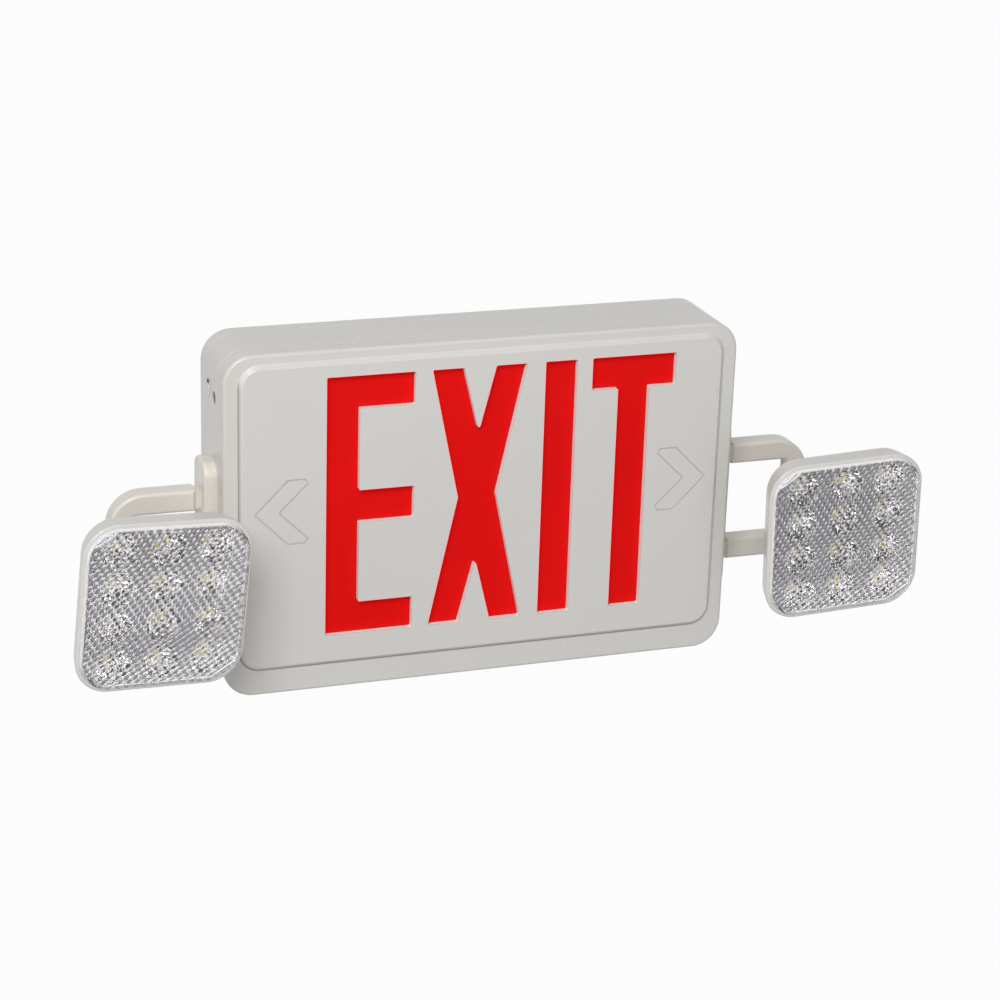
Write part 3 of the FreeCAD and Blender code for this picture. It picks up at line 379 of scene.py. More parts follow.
@dataclass(frozen=True)
class PlateFinish(Finish):
    """The face plate's plastic, with a painted highlight on the legend's cut walls, painted shade on the
    floors of the scored lines and a painted shadow at the foot of its lower and left bevels."""

    # painted shadow: a dark tint at the foot of the plate's lower and left bevels, where it meets the frame
    seat_shade: Colour = (112, 109, 92)
    seat_y: float = 0.0
    seat_shade_width: float = 0.0015
    seat_shade_way: Triple = (-0.6, 0.0, -1.0)
    seat_shade_span: Span = (0.05, 0.5)
    bevel_span: Span = (-0.2, -0.4)
    # painted highlight: the legend's cut walls are tinted near white, as where light catches them
    cut: Colour = (252, 251, 248)
    cut_highlight_span: Span = (-0.25, -0.1)
    cut_highlight_fade: Span = (0.00002, 0.00006)
    # painted shade: a grey tint on the floors of the scored lines, where shade falls in the grooves
    score_shade: Colour = (194, 191, 186)
    score_shade_span: Span = (-0.9, -0.96)
    score_depth: float = 0.0005
    front_y: float = 0.0
    slack: float = 0.00005

    def shader(self, tree: bpy.types.NodeTree, place: bpy.types.NodeSocket) -> bpy.types.Node:
        """Adds the plastic's shader with its painted highlight, painted shade and painted shadow.

        Args:
            tree: The material's tree.
            place: The object coordinates' socket.

        Returns:
            The Principled node.
        """
        shader = Finish.shader(self, tree, place)
        depth = add_node(tree, "ShaderNodeSeparateXYZ", Vector=place).outputs["Y"]
        normal = add_node(tree, "ShaderNodeTexCoord").outputs["Normal"]
        lean = add_node(tree, "ShaderNodeSeparateXYZ", Vector=normal).outputs["Y"]
        # painted shadow at the foot of the lower and left bevels, where the plate meets the frame
        low = ramp(tree, along(tree, normal, self.seat_shade_way), self.seat_shade_span)
        bevel = worked(tree, "MULTIPLY", low, ramp(tree, lean, self.bevel_span))
        foot = ramp(tree, depth, (self.seat_y - self.seat_shade_width, self.seat_y))
        self.overlay(tree, shader, worked(tree, "MULTIPLY", foot, bevel), self.seat_shade)
        score_y = self.front_y + self.score_depth
        # painted highlight on the legend's cut walls, deeper than the scored lines
        deep = ramp(tree, depth, (score_y + self.cut_highlight_fade[0], score_y + self.cut_highlight_fade[1]))
        self.overlay(tree, shader, worked(tree, "MULTIPLY", ramp(tree, lean, self.cut_highlight_span), deep), self.cut)
        # painted shade on the floors of the scored lines
        floor = worked(tree, "COMPARE", depth, score_y, self.slack)
        self.overlay(tree, shader, worked(tree, "MULTIPLY", ramp(tree, lean, self.score_shade_span), floor),
                     self.score_shade)
        return shader


@dataclass(frozen=True)
class BoardFinish(Finish):
    """Solder mask over copper runs: a fine net of straight, slightly raised tracks."""

    track: Colour = (40, 120, 70)
    track_scale: float = 260.0
    track_width: float = 0.06
    stagger: float = 0.37

    def shader(self, tree: bpy.types.NodeTree, place: bpy.types.NodeSocket) -> bpy.types.Node:
        """Adds the mask's shader with its tracks.

        Args:
            tree: The material's tree.
            place: The object coordinates' socket.

        Returns:
            The Principled node.
        """
        shader = Finish.shader(self, tree, place)
        turned_place = add_node(tree, "ShaderNodeMapping", Vector=place, Rotation=(math.pi / 2, 0.0, 0.0))
        tracks = add_node(tree, "ShaderNodeTexBrick", {"offset": self.stagger}, Scale=self.track_scale,
                          Mortar_Size=self.track_width, Vector=turned_place.outputs["Vector"])
        self.overlay(tree, shader, tracks.outputs["Fac"], self.track)
        return shader


@dataclass(frozen=True)
class FacetFinish(Finish):
    """Bright metal with painted glints, and painted light and shade that follow the walls' normals."""

    # painted light and shade: tones of the painted lit walls and the painted shaded walls, with their
    # painted glints
    painted_lit_dull: Colour = (250, 250, 250)
    far: Colour = (246, 246, 248)
    painted_shade_dark: Colour = (60, 60, 66)
    painted_light_way: Triple = (0.64, 0.0, -0.77)
    painted_light_span: Span = (-0.45, 0.55)
    glints: float = 620.0
    glint_span: Span = (0.44, 0.56)

    def shader(self, tree: bpy.types.NodeTree, place: bpy.types.NodeSocket) -> bpy.types.Node:
        """Adds the metal's shader with its painted glints and painted light and shade.

        Args:
            tree: The material's tree.
            place: The object coordinates' socket.

        Returns:
            The Principled node.
        """
        shader = Finish.shader(self, tree, place)
        # painted glints from noise; walls whose normals point to the lower right get painted light, the rest
        # painted shade
        noise = add_node(tree, "ShaderNodeTexNoise", Vector=place, Scale=self.glints, Detail=1.0)
        normal = add_node(tree, "ShaderNodeTexCoord").outputs["Normal"]
        painted_lit_side = ramp(tree, along(tree, normal, self.painted_light_way), self.painted_light_span)
        low = blended(tree, painted_lit_side, linear(self.painted_shade_dark), linear(self.painted_lit_dull))
        high = blended(tree, painted_lit_side, linear(self.far), linear(self.colour))
        glint = ramp(tree, noise.outputs["Fac"], self.glint_span)
        tree.links.new(blended(tree, glint, low, high), shader.inputs["Base Color"])
        return shader


@dataclass(frozen=True)
class ClearFinish(Finish):
    """Clear moulded plastic with painted shade on the borders between its prisms. Lamps shine through it."""

    # painted shade: a grey tint on the borders between the prisms
    border_shade: Colour = (176, 174, 178)
    lamp_tint: Colour = (240, 243, 245)

    def shader(self, tree: bpy.types.NodeTree, place: bpy.types.NodeSocket) -> bpy.types.Node:
        """Adds the clear shader with the painted shade on its prisms' borders.

        Args:
            tree: The material's tree.
            place: The object coordinates' socket.

        Returns:
            The Principled node.
        """
        shader = Finish.shader(self, tree, place)
        chart = add_node(tree, "ShaderNodeUVMap", {"uv_map": PRISM_CHART})
        # painted shade on the prisms' borders, laid out by the prisms' chart
        cells = add_node(tree, "ShaderNodeGroup", {"node_tree": PRISMS}, Vector=chart.outputs["UV"])
        base = shader.inputs["Base Color"]
        tint = blended(tree, cells.outputs["Cell"], linear(self.border_shade), base.links[0].from_socket)
        tree.links.new(tint, base)
        return shader

    def build(self) -> bpy.types.Material:
        """Builds the material.

        Returns:
            A clear material that lets shadow rays pass.
        """
        material = Finish.build(self)
        tree = material.node_tree
        surface = next(n for n in tree.nodes if n.type == "OUTPUT_MATERIAL").inputs["Surface"]
        through = add_node(tree, "ShaderNodeBsdfTransparent", Color=linear(self.lamp_tint))
        path = add_node(tree, "ShaderNodeLightPath")
        mix = add_node(tree, "ShaderNodeMixShader", Fac=path.outputs["Is Shadow Ray"],
                       i1=surface.links[0].from_socket, i2=through.outputs["BSDF"])
        tree.links.new(mix.outputs["Shader"], surface)
        return material


def moulded(name: str, colour: Colour, roughness: float) -> Finish:
    """Gives the satin finish that the white mouldings share.

    Args:
        name: The finish's name.
        colour: Its colour.
        roughness: Its roughness.

    Returns:
        The finish.
    """
    return Finish(name, colour, roughness, spread=0.025, relief=0.000006)


METAL = (("Metallic", 1.0),)
FINISHES: dict[str, Finish] = {finish.name: finish for finish in (
    moulded("housing_white", (213, 211, 206), 0.26),
    moulded("arm_white", (225, 219, 211), 0.28),
    moulded("lamp_white", (214, 212, 208), 0.26),
    # painted highlight, painted shade and painted shadow on the face plate
    PlateFinish("face_white", (214, 212, 208), 0.28, spread=0.025, relief=0.000006,
                front_y=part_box("face_plate")[0][1], seat_y=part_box("front_frame")[0][1]),
    Finish("legend_red", (233, 18, 18), 0.4, shade=0.9, relief=0.000008, clouding=14.0,
           sockets=(("Specular IOR Level", 0.04),)),
    Finish("diffuser", (240, 240, 238), 0.5),
    Finish("button_grey", (52, 52, 54), 0.45),
    Finish("black_plastic", (32, 32, 34), 0.45),
    Finish("terminal_green", (38, 116, 60), 0.45),
    Finish("indicator_red", (92, 14, 18), 0.12, sockets=(("Coat Weight", 0.6), ("Coat Roughness", 0.05))),
    Finish("led_white", (236, 226, 170), 0.3),
    Finish("led_yellow", (238, 205, 60), 0.25),
    Finish("led_resin", (236, 236, 232), 0.3),
    Finish("battery_sleeve", (34, 84, 142), 0.3, grain=600.0, relief=0.00004),
    Finish("core_steel", (70, 70, 74), 0.5, grain=900.0, relief=0.00005, sockets=(("Metallic", 0.8),)),
    Finish("can_aluminium", (196, 198, 204), 0.35, sockets=METAL),
    Finish("steel", (176, 176, 180), 0.3, shade=0.85, grain=1800.0, sockets=METAL),
    # painted glints and painted light and shade on the cups
    FacetFinish("reflector_chrome", (255, 254, 252), 0.05, grain=900.0, relief=0.000006, sockets=METAL),
    Finish("reflector_web", (162, 162, 168), 0.2, shade=0.86, grain=900.0, relief=0.000006, sockets=METAL),
    BoardFinish("board_green", (18, 84, 44), 0.4),
    BoardFinish("board_white", (228, 228, 224), 0.4, track=(206, 206, 200)),
    # painted shade on the borders between the lens's prisms, in both lens finishes
    ClearFinish("lens_clear", (255, 253, 252), 0.03, shade=0.99, spread=0.03, relief=0.000002,
                sockets=(("Transmission Weight", 1.0), ("IOR", 1.49))),
    ClearFinish("lens_edge", (255, 253, 252), 0.35, shade=0.99, spread=0.03, relief=0.000002,
                sockets=(("Transmission Weight", 0.2), ("IOR", 1.49))),
)}


class Palette:
    """The materials, each built when a piece first asks for it."""

    def __init__(self) -> None:
        """Starts with no material."""
        self.made: dict[str, bpy.types.Material] = {}

    def get(self, name: str) -> bpy.types.Material:
        """Gives a finish's material.

        Args:
            name: The finish's name.

        Returns:
            The one material of that name.
        """
        if name not in self.made:
            self.made[name] = FINISHES[name].build()
        return self.made[name]


PALETTE = Palette()


# ------------------------------------------------------------------------------------------ mesh making ---
MERGE = 1e-7             # points nearer than this are one
TURN_STEPS = 40          # round a cup


def rounded_square(side: float, radius: float, segments: int) -> bmesh.types.BMesh:
    """Starts a mesh with one rounded square that faces -Y.

    Args:
        side: Size along X and Z.
        radius: Corner radius.
        segments: Steps round each corner.

    Returns:
        The mesh, with the face at y = 0.
    """
    bm = bmesh.new()
    bmesh.ops.create_grid(bm, x_segments=1, y_segments=1, size=0.5)
    bmesh.ops.scale(bm, vec=(side, side, 1), verts=bm.verts)
    bmesh.ops.bevel(bm, geom=bm.verts[:], offset=radius, offset_type="OFFSET", segments=segments,
                    profile=0.5, affect="VERTICES", material=-1)
    bmesh.ops.rotate(bm, matrix=Matrix.Rotation(math.pi / 2, 3, "X"), verts=bm.verts)
    return bm


def grow(bm: bmesh.types.BMesh, depth: float) -> list[bmesh.types.BMFace]:
    """Extrudes every face of a flat mesh along -Y into a solid.

    Args:
        bm: The flat mesh.
        depth: How far to go.

    Returns:
        The faces of the new front.
    """
    made = bmesh.ops.extrude_face_region(bm, geom=bm.faces[:])
    verts = [g for g in made["geom"] if isinstance(g, bmesh.types.BMVert)]
    bmesh.ops.translate(bm, vec=(0, -depth, 0), verts=verts)
    bmesh.ops.recalc_face_normals(bm, faces=bm.faces)
    return [g for g in made["geom"] if isinstance(g, bmesh.types.BMFace)]


def soften(bm: bmesh.types.BMesh, edges: Iterable[bmesh.types.BMEdge], size: float, segments: int) -> None:
    """Rounds some edges.

    Args:
        bm: The mesh.
        edges: The edges to round.
        size: The rounding's size.
        segments: Steps across it.
    """
    bmesh.ops.bevel(bm, geom=list(edges), offset=size, offset_type="OFFSET", segments=segments, profile=0.5,
                    affect="EDGES", material=-1)


def shift(bm: bmesh.types.BMesh, x: float = 0.0, y: float = 0.0, z: float = 0.0) -> bmesh.types.BMesh:
    """Moves a whole mesh.

    Args:
        bm: The mesh.
        x: Distance along X.
        y: Distance along Y.
        z: Distance along Z.

    Returns:
        The same mesh.
    """
    bmesh.ops.translate(bm, vec=(x, y, z), verts=bm.verts)
    return bm


def turned(profile: list[tuple[float, float]], steps: int) -> bmesh.types.BMesh:
    """Spins a profile of (radius, y) points round the Y axis.

    Args:
        profile: The points, from one end to the other.
        steps: Steps round the axis.

    Returns:
        The closed turned mesh.
    """
    bm = bmesh.new()
    verts = [bm.verts.new((r, y, 0)) for r, y in profile]
    edges = [bm.edges.new(pair) for pair in zip(verts, verts[1:])]
    bmesh.ops.spin(bm, geom=verts + edges, cent=(0, 0, 0), axis=(0, 1, 0), angle=2 * math.pi, steps=steps,
                   use_merge=True, use_duplicate=False)
    bmesh.ops.remove_doubles(bm, verts=bm.verts, dist=MERGE)
    bmesh.ops.recalc_face_normals(bm, faces=bm.faces)
    return bm


def joined(parts: list[bmesh.types.BMesh]) -> bmesh.types.BMesh:
    """Puts several meshes into one.

    Args:
        parts: The meshes, which are freed.

    Returns:
        One mesh that holds them all.
    """
    whole = bmesh.new()
    for part in parts:
        mesh = bpy.data.meshes.new("part")
        part.to_mesh(mesh)
        part.free()
        whole.from_mesh(mesh)
        bpy.data.meshes.remove(mesh)
    return whole


def combined(first: bmesh.types.BMesh, second: bmesh.types.BMesh, operation: Operation) -> bmesh.types.BMesh:
    """Makes one solid of two.

    Args:
        first: The solid that is cut or kept in part.
        second: The other solid.
        operation: What the second does to the first.

    Returns:
        The result. Both inputs are freed.
    """
    holders = []
    for bm in (first, second):
        mesh = bpy.data.meshes.new("operand")
        bm.to_mesh(mesh)
        bm.free()
        holder = bpy.data.objects.new("operand", mesh)
        bpy.context.scene.collection.objects.link(holder)
        holders.append(holder)
    step = holders[0].modifiers.new("step", "BOOLEAN")
    step.operation = operation.value
    step.solver = "MANIFOLD"
    step.object = holders[1]
    graph = bpy.context.evaluated_depsgraph_get()
    result = bpy.data.meshes.new_from_object(holders[0].evaluated_get(graph))
    bm = bmesh.new()
    bm.from_mesh(result)
    bpy.data.meshes.remove(result)
    for holder in holders:
        bpy.data.objects.remove(holder)
    return bm


def shown(bm: bmesh.types.BMesh, name: str, finishes: tuple[str, ...], body: str, place: Matrix, node: str,
          smooth: float = 30.0) -> None:
    """Makes a finished piece of the object.

    Args:
        bm: Its mesh, which is freed.
        name: Its name.
        finishes: Its finishes, in the order of its faces' material indices.
        body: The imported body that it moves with.
        place: Where its own frame lies.
        node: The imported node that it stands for.
        smooth: Edges flatter than this many degrees are shaded smooth.
    """
    bm.transform(place)
    for face in bm.faces:
        face.smooth = True
    for edge in bm.edges:
        edge.smooth = len(edge.link_faces) == 2 and edge.calc_face_angle(0.0) < math.radians(smooth)
    mesh = bpy.data.meshes.new(name)
    bm.to_mesh(mesh)
    bm.free()
    for finish in finishes:
        mesh.materials.append(PALETTE.get(finish))
    piece = bpy.data.objects.new(name, mesh)
    bpy.context.scene.collection.objects.link(piece)
    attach(piece, body)
    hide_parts(node)
    LOG.info("%s on %s: %d faces", name, body, len(mesh.polygons))


# ---------------------------------------------------------------------------------------------- housing ---
@dataclass
class Housing:
    """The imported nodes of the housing, the arms and the button, which keep their shapes."""

    finishes: dict[str, str] = field(default_factory=lambda: {
        "back_plate": "housing_white", "housing_frame": "housing_white", "front_frame": "housing_white",
        "face_plate": "face_white", "legend_panel": "legend_red", "diffuser_sheet": "diffuser",
        "light_strips": "board_white", "strip_leds": "led_white", "side_board": "board_green",
        "test_switch": "black_plastic", "test_button": "button_grey", "status_led": "indicator_red",
        "circuit_board": "board_green", "board_screws": "steel", "transformer": "core_steel",
        "capacitors": "can_aluminium", "relay": "black_plastic", "terminal_block": "terminal_green",
        "battery_pack": "battery_sleeve", "battery_strap": "steel",
    })
    sided: dict[str, str] = field(default_factory=lambda: {
        "mounting_pad": "arm_white", "pad_screws": "steel", "lamp_arm": "arm_white",
        "swivel_collar": "arm_white", "collar_cap": "arm_white", "clamp_screws": "steel",
        "tilt_pin": "steel", "lamp_stem": "arm_white", "stem_retainer": "steel",
        "lamp_housing": "lamp_white", "lamp_board": "board_white",
    })

    def dress(self) -> None:
        """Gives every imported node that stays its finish."""
        names = dict(self.finishes)
        for hand in Hand:
            names.update({f"{node}_{hand.value}": finish for node, finish in self.sided.items()})
        for node, finish in names.items():
            piece = frame["nodes"][node]
            for slot in piece.material_slots:
                slot.material = PALETTE.get(finish)
            LOG.info("%s finished in %s", node, finish)


# ------------------------------------------------------------------------------------------------ lamps ---
@dataclass
class LampHead:
    """What shows inside one lamp head. Sizes are in metres, in the lamp's own frame: the arm's upright is
    the Z axis and the lamp faces -Y. Depths are counted backwards from the rim, and angles in degrees."""

    hand: Hand
    turn: float                    # how far the lamp is turned on its stem
    pivot_out: float = 0.020       # from the upright to the tilt pin
    rim_out: float = 0.076         # from the upright to the lamp's rim

    width: float = 0.0912          # the clear cap
    radius: float = 0.0177
    ledge: float = 0.004           # how deep the cap sits
    proud: float = 0.003           # how far it stands out of the rim
    skin: float = 0.0018           # its front's thickness
    wall: float = 0.0018
    edge: float = 0.0018           # rounding of its front edge
    edge_lean: float = 0.55        # a face is satin where its normal has less than this along Y
    corner_steps: int = 16
    edge_steps: int = 6
    overrun: float = 0.001         # how far a cutting solid reaches past what it cuts

    prism: float = 0.0039          # the prisms' pitch
    prism_rise: float = 0.00062
    prism_squash: float = 0.72
    prism_field: float = 1.6       # the field's side, in widths of the cap
    prism_depth: float = 0.02
    prism_angle: float = -33.0

    web_gap: float = 0.0009        # between the web and the cap, both sides together
    web_inset: float = 0.0004      # what that gap takes off the web's corner radius
    web_depth: float = 0.0012
    web_steps: int = 12
    cup_pitch: tuple[float, float] = (0.0264, 0.0214)
    cup_count: tuple[int, int] = (3, 4)
    cup_mouth: float = 0.0096
    cup_base: float = 0.0036
    cup_front: float = 0.0008
    cup_back: float = 0.0110
    cup_skin: float = 0.0008
    cup_room: float = 0.0004       # between a cup's mouth and its hole in the web
    cup_steps: int = 10            # along a cup's curve
    drill_back: float = 0.004
    drill_front: float = -0.002

    chip: float = 0.0035           # the light sources' carriers
    chip_depth: float = 0.0008
    chip_radius: float = 0.0003
    chip_edge: float = 0.00012
    chip_steps: int = 2
    dome: float = 0.0014
    dome_rise: float = 0.0006
    dome_steps: int = 8
    dome_turns: int = 24

    @property
    def body(self) -> str:
        """The body that the head moves with."""
        return f"lamp_{self.hand.value}"

    def place(self) -> Matrix:
        """Finds where the head's own frame lies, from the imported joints.

        Returns:
            The frame's matrix.
        """
        joints = {joint["name"]: joint for joint in frame["joints"]}
        across = Vector(joints[f"tilt_{self.hand.value}"]["axis"]).normalized()
        pivot = Vector(joints[f"tilt_{self.hand.value}"]["pos_m"])
        inward = -Vector(joints[f"turn_{self.hand.value}"]["axis"]).normalized()
        axes = Matrix((across, inward, across.cross(inward))).transposed().to_4x4()
        turn = Matrix.Rotation(math.radians(self.turn), 4, "Y")
        return Matrix.Translation(pivot) @ axes @ turn @ Matrix.Translation((0, self.pivot_out, 0))

    def behind_rim(self, depth: float) -> float:
        """Gives the y of a plane at some depth behind the rim."""
        return -(self.rim_out - depth)

    def build(self) -> None:
        """Builds every piece of the head."""
        place = self.place()
        self.lens(place)
        self.reflector(place)
        self.sources(place)

    def prism_block(self, size: float, depth: float) -> bmesh.types.BMesh:
        """Makes a block whose front is a field of small pyramids.

        Args:
            size: The block's side.
            depth: Its thickness.

        Returns:
            The block, with the pyramids' feet at y = 0.
        """
        bm = bmesh.new()
        count = int(size / self.prism)
        bmesh.ops.create_grid(bm, x_segments=count, y_segments=count, size=size / 2)
        bmesh.ops.rotate(bm, matrix=Matrix.Rotation(math.pi / 2, 3, "X"), verts=bm.verts)
        grow(bm, -depth)
        front = [face for face in bm.faces if face.normal.y < -0.5]
        bmesh.ops.poke(bm, faces=front, offset=self.prism_rise, center_mode="MEAN")
        bmesh.ops.scale(bm, vec=(1, 1, self.prism_squash), verts=bm.verts)
        turn = Matrix.Rotation(math.radians(self.prism_angle), 3, "Y")
        bmesh.ops.rotate(bm, matrix=turn, verts=bm.verts)
        return bm

    def chart(self, bm: bmesh.types.BMesh) -> None:
        """Charts a mesh with the prisms' rows and columns, each one unit wide.

        Args:
            bm: The mesh, in the head's own frame.
        """
        layer = bm.loops.layers.uv.new(PRISM_CHART)
        back = Matrix.Rotation(math.radians(-self.prism_angle), 3, "Y")
        side = self.width * self.prism_field
        cell = side / int(side / self.prism)
        middle = (0.5, 0.5)
        for face in bm.faces:
            inside = face.normal.y > 0.5
            for loop in face.loops:
                co = back @ loop.vert.co
                loop[layer].uv = (co.x / cell, co.z / (cell * self.prism_squash)) if inside else middle

    def lens(self, place: Matrix) -> None:
        """Builds the clear cap, with prisms moulded into the inside of its front.

        Args:
            place: The head's frame.
        """
        cap = rounded_square(self.width, self.radius, self.corner_steps)
        front = grow(cap, self.ledge + self.proud)
        rim = {edge for face in front for edge in face.edges}
        soften(cap, rim, self.edge, self.edge_steps)
        shift(cap, y=self.behind_rim(self.ledge))
        hollow = rounded_square(self.width - 2 * self.wall, self.radius - self.wall, self.corner_steps)
        grow(hollow, self.ledge + self.proud)
        shift(hollow, y=self.overrun)
        prisms = self.prism_block(self.width * self.prism_field, self.prism_depth)
        shift(prisms, y=-(self.ledge + self.proud - self.skin - self.prism_rise))
        hollow = combined(hollow, prisms, Operation.MEET)
        shift(hollow, y=self.behind_rim(self.ledge))
        lens = combined(cap, hollow, Operation.CUT)
        lens.normal_update()
        self.chart(lens)
        for face in lens.faces:
            face.material_index = int(abs(face.normal.y) < self.edge_lean)
        shown(lens, f"clear_lens_{self.hand.value}", ("lens_clear", "lens_edge"), self.body, place,
              f"lamp_lens_{self.hand.value}", smooth=28.0)

    def cup_places(self) -> list[tuple[float, float]]:
        """Lists the cups' centres.

        Returns:
            The x and z of each.
        """
        across, up = self.cup_count
        return [((i - (across - 1) / 2) * self.cup_pitch[0], (j - (up - 1) / 2) * self.cup_pitch[1])
                for i in range(across) for j in range(up)]

    def cup_curve(self) -> list[tuple[float, float]]:
        """Works out the inside of a cup, a parabola whose square of radius grows evenly with height.

        Returns:
            The radius and y of its points, from the back to the mouth.
        """
        depth = self.cup_back - self.cup_front
        points = []
        for step in range(self.cup_steps + 1):
            share = step / self.cup_steps
            radius = math.sqrt(self.cup_base ** 2 + share * (self.cup_mouth ** 2 - self.cup_base ** 2))
            points.append((radius, self.behind_rim(self.cup_back - share * depth)))
        return points

    def reflector(self, place: Matrix) -> None:
        """Builds the bright web with a parabolic cup for each light source.

        Args:
            place: The head's frame.
        """
        side = self.width - 2 * self.wall - self.web_gap
        web = rounded_square(side, self.radius - self.wall - self.web_inset, self.web_steps)
        grow(web, self.web_depth)
        shift(web, y=self.behind_rim(self.cup_front + self.web_depth))
        hole = self.cup_mouth + self.cup_room
        back, front = self.behind_rim(self.drill_back), self.behind_rim(self.drill_front)
        drill = [(0.0, back), (hole, back), (hole, front), (0.0, front)]
        inside = self.cup_curve()
        outside = [(radius + self.cup_skin, y) for radius, y in reversed(inside)]
        cups = []
        for x, z in self.cup_places():
            web = combined(web, shift(turned(drill, TURN_STEPS), x=x, z=z), Operation.CUT)
            cups.append(shift(turned(inside + outside + inside[:1], TURN_STEPS), x=x, z=z))
        node = f"lamp_reflector_{self.hand.value}"
        shown(web, f"reflector_web_{self.hand.value}", ("reflector_web",), self.body, place, node,
              smooth=35.0)
        shown(joined(cups), f"bright_cups_{self.hand.value}", ("reflector_chrome",), self.body, place, node,
              smooth=35.0)

    def sources(self, place: Matrix) -> None:
        """Builds the light sources: a pale carrier with a yellow dome in each cup.

        Args:
            place: The head's frame.
        """
        angles = [step * math.pi / 2 / self.dome_steps for step in range(self.dome_steps + 1)]
        curve = [(self.dome * math.sin(a), -self.chip_depth - self.dome_rise * math.cos(a)) for a in angles]
        curve.append((0.0, -self.chip_depth))
        foot = self.behind_rim(self.cup_back)
        carriers, domes = [], []
        for x, z in self.cup_places():
            carrier = rounded_square(self.chip, self.chip_radius, self.chip_steps)
            front = grow(carrier, self.chip_depth)
            rim = {edge for face in front for edge in face.edges}
            soften(carrier, rim, self.chip_edge, self.chip_steps)
            carriers.append(shift(carrier, x=x, y=foot, z=z))
            domes.append(shift(turned(curve, self.dome_turns), x=x, y=foot, z=z))
        node = f"lamp_leds_{self.hand.value}"
        shown(joined(carriers), f"led_carriers_{self.hand.value}", ("led_resin",), self.body, place, node)
        shown(joined(domes), f"led_domes_{self.hand.value}", ("led_yellow",), self.body, place, node)


# ------------------------------------------------------------------------------------------------ stage ---
@dataclass
class Lamp:
    """A soft studio lamp."""

    name: str
    place: Triple
    size: tuple[float, float]
    power: float

    def build(self, target: Vector) -> None:
        """Sets the lamp up.

        Args:
            target: The point that it looks at.
        """
        data = bpy.data.lights.new(self.name, "AREA")
        data.shape = "RECTANGLE"
        data.size, data.size_y = self.size
        data.energy = self.power
        lamp = bpy.data.objects.new(self.name, data)
        lamp.location = self.place
        lamp.rotation_euler = (target - Vector(self.place)).to_track_quat("-Z", "Y").to_euler()
        bpy.context.scene.collection.objects.link(lamp)


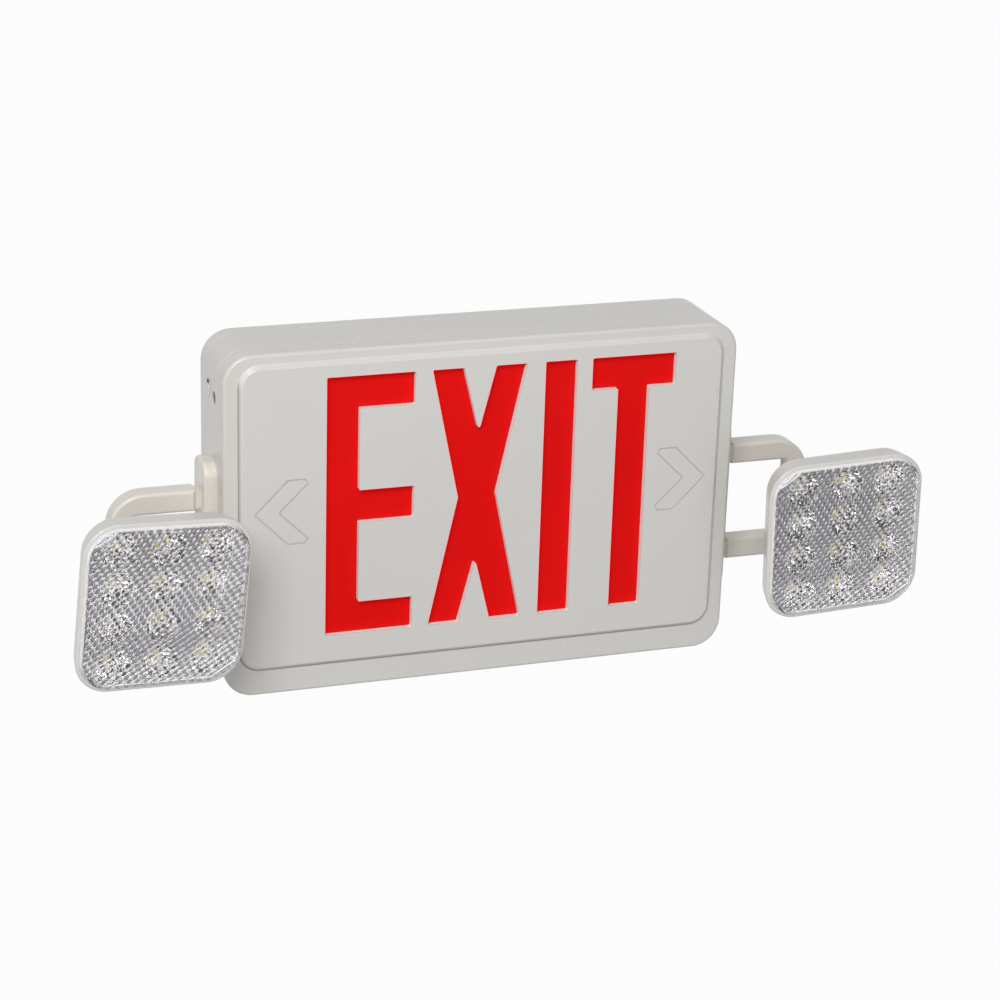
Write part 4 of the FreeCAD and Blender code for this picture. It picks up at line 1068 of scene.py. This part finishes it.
@dataclass
class Studio:
    """The floor, the lamps, the surroundings and the camera."""

    floor_z: float = -0.62
    floor_size: float = 14.0
    floor_tone: Colour = (180, 180, 180)
    floor_glow: float = 0.97
    camera_place: Triple = (-0.46599, -1.38654, 0.52459)
    yaw: float = 0.3424
    pitch: float = 0.3521
    roll: float = 0.0320
    lens_mm: float = 95.79
    sensor_mm: float = 36.0
    far_end: float = 50.0
    ambient: float = 0.27
    lamps: tuple[Lamp, ...] = (
        Lamp("key", (-0.85, -1.5, 1.35), (1.0, 1.0), 29.0),
        Lamp("fill", (0.35, -1.9, 0.35), (1.5, 1.5), 7.0),
        Lamp("side", (-2.0, -0.7, 0.4), (1.2, 1.2), 5.0),
    )

    def build(self) -> None:
        """Builds the whole studio."""
        self.floor()
        self.surroundings()
        low, high = (Vector(corner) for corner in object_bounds())
        for lamp in self.lamps:
            lamp.build((low + high) / 2)
        self.camera()

    def seen(self, tree: bpy.types.NodeTree) -> bpy.types.NodeSocket:
        """Adds a factor that is 1 for camera, glossy and transmitted rays.

        Args:
            tree: The tree to add it to.

        Returns:
            The factor's socket.
        """
        rays = add_node(tree, "ShaderNodeLightPath").outputs
        first = worked(tree, "MAXIMUM", rays["Is Camera Ray"], rays["Is Glossy Ray"])
        return worked(tree, "MAXIMUM", first, rays["Is Transmission Ray"])

    def floor(self) -> None:
        """Lays a wide pale floor that keeps the object's shadow."""
        bm = bmesh.new()
        bmesh.ops.create_grid(bm, x_segments=4, y_segments=4, size=self.floor_size)
        shift(bm, z=self.floor_z)
        mesh = bpy.data.meshes.new("floor")
        bm.to_mesh(mesh)
        bm.free()
        material = bpy.data.materials.new("floor_white")
        material.use_nodes = True
        tree = material.node_tree
        tree.nodes.clear()
        matt = add_node(tree, "ShaderNodeBsdfDiffuse", Color=linear(self.floor_tone))
        glow = add_node(tree, "ShaderNodeEmission", Strength=1.0)
        share = worked(tree, "MULTIPLY", self.seen(tree), self.floor_glow)
        mix = add_node(tree, "ShaderNodeMixShader", Fac=share, i1=matt.outputs[0], i2=glow.outputs[0])
        add_node(tree, "ShaderNodeOutputMaterial", Surface=mix.outputs[0])
        mesh.materials.append(material)
        floor = bpy.data.objects.new("floor", mesh)
        bpy.context.scene.collection.objects.link(floor)
        floor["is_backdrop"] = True

    def surroundings(self) -> None:
        """Fills the room with an even grey light behind a white backdrop."""
        world = bpy.data.worlds.new("studio")
        bpy.context.scene.world = world
        world.use_nodes = True
        tree = world.node_tree
        tree.nodes.clear()
        white = (1.0, 1.0, 1.0, 1.0)
        light = add_node(tree, "ShaderNodeBackground", Color=white, Strength=self.ambient)
        backdrop = add_node(tree, "ShaderNodeBackground", Color=white, Strength=1.0)
        mix = add_node(tree, "ShaderNodeMixShader", Fac=self.seen(tree), i1=light.outputs[0],
                       i2=backdrop.outputs[0])
        add_node(tree, "ShaderNodeOutputWorld", Surface=mix.outputs[0])

    def camera(self) -> None:
        """Sets the camera up."""
        ahead = Vector((math.sin(self.yaw) * math.cos(self.pitch), math.cos(self.yaw) * math.cos(self.pitch),
                        -math.sin(self.pitch)))
        level = Vector((math.cos(self.yaw), -math.sin(self.yaw), 0.0))
        upright = level.cross(ahead)
        right = math.cos(self.roll) * level + math.sin(self.roll) * upright
        top = -math.sin(self.roll) * level + math.cos(self.roll) * upright
        data = bpy.data.cameras.new("camera")
        data.lens = self.lens_mm
        data.sensor_width = self.sensor_mm
        data.clip_end = self.far_end
        camera = bpy.data.objects.new("camera", data)
        axes = Matrix((right, top, -ahead)).transposed().to_4x4()
        camera.matrix_world = Matrix.Translation(self.camera_place) @ axes
        bpy.context.scene.collection.objects.link(camera)
        bpy.context.scene.camera = camera


TURNS = {Hand.LEFT: 4.6, Hand.RIGHT: -2.8}       # how far each lamp is turned on its stem, in degrees


def main() -> None:
    """Builds the pieces in order, then the studio."""
    logging.basicConfig(level=logging.INFO, format="%(message)s")
    bpy.context.scene.view_settings.view_transform = "Standard"
    Housing().dress()
    for hand, turn in TURNS.items():
        LampHead(hand, turn).build()
    Studio().build()


if __name__ == "__main__":
    main()
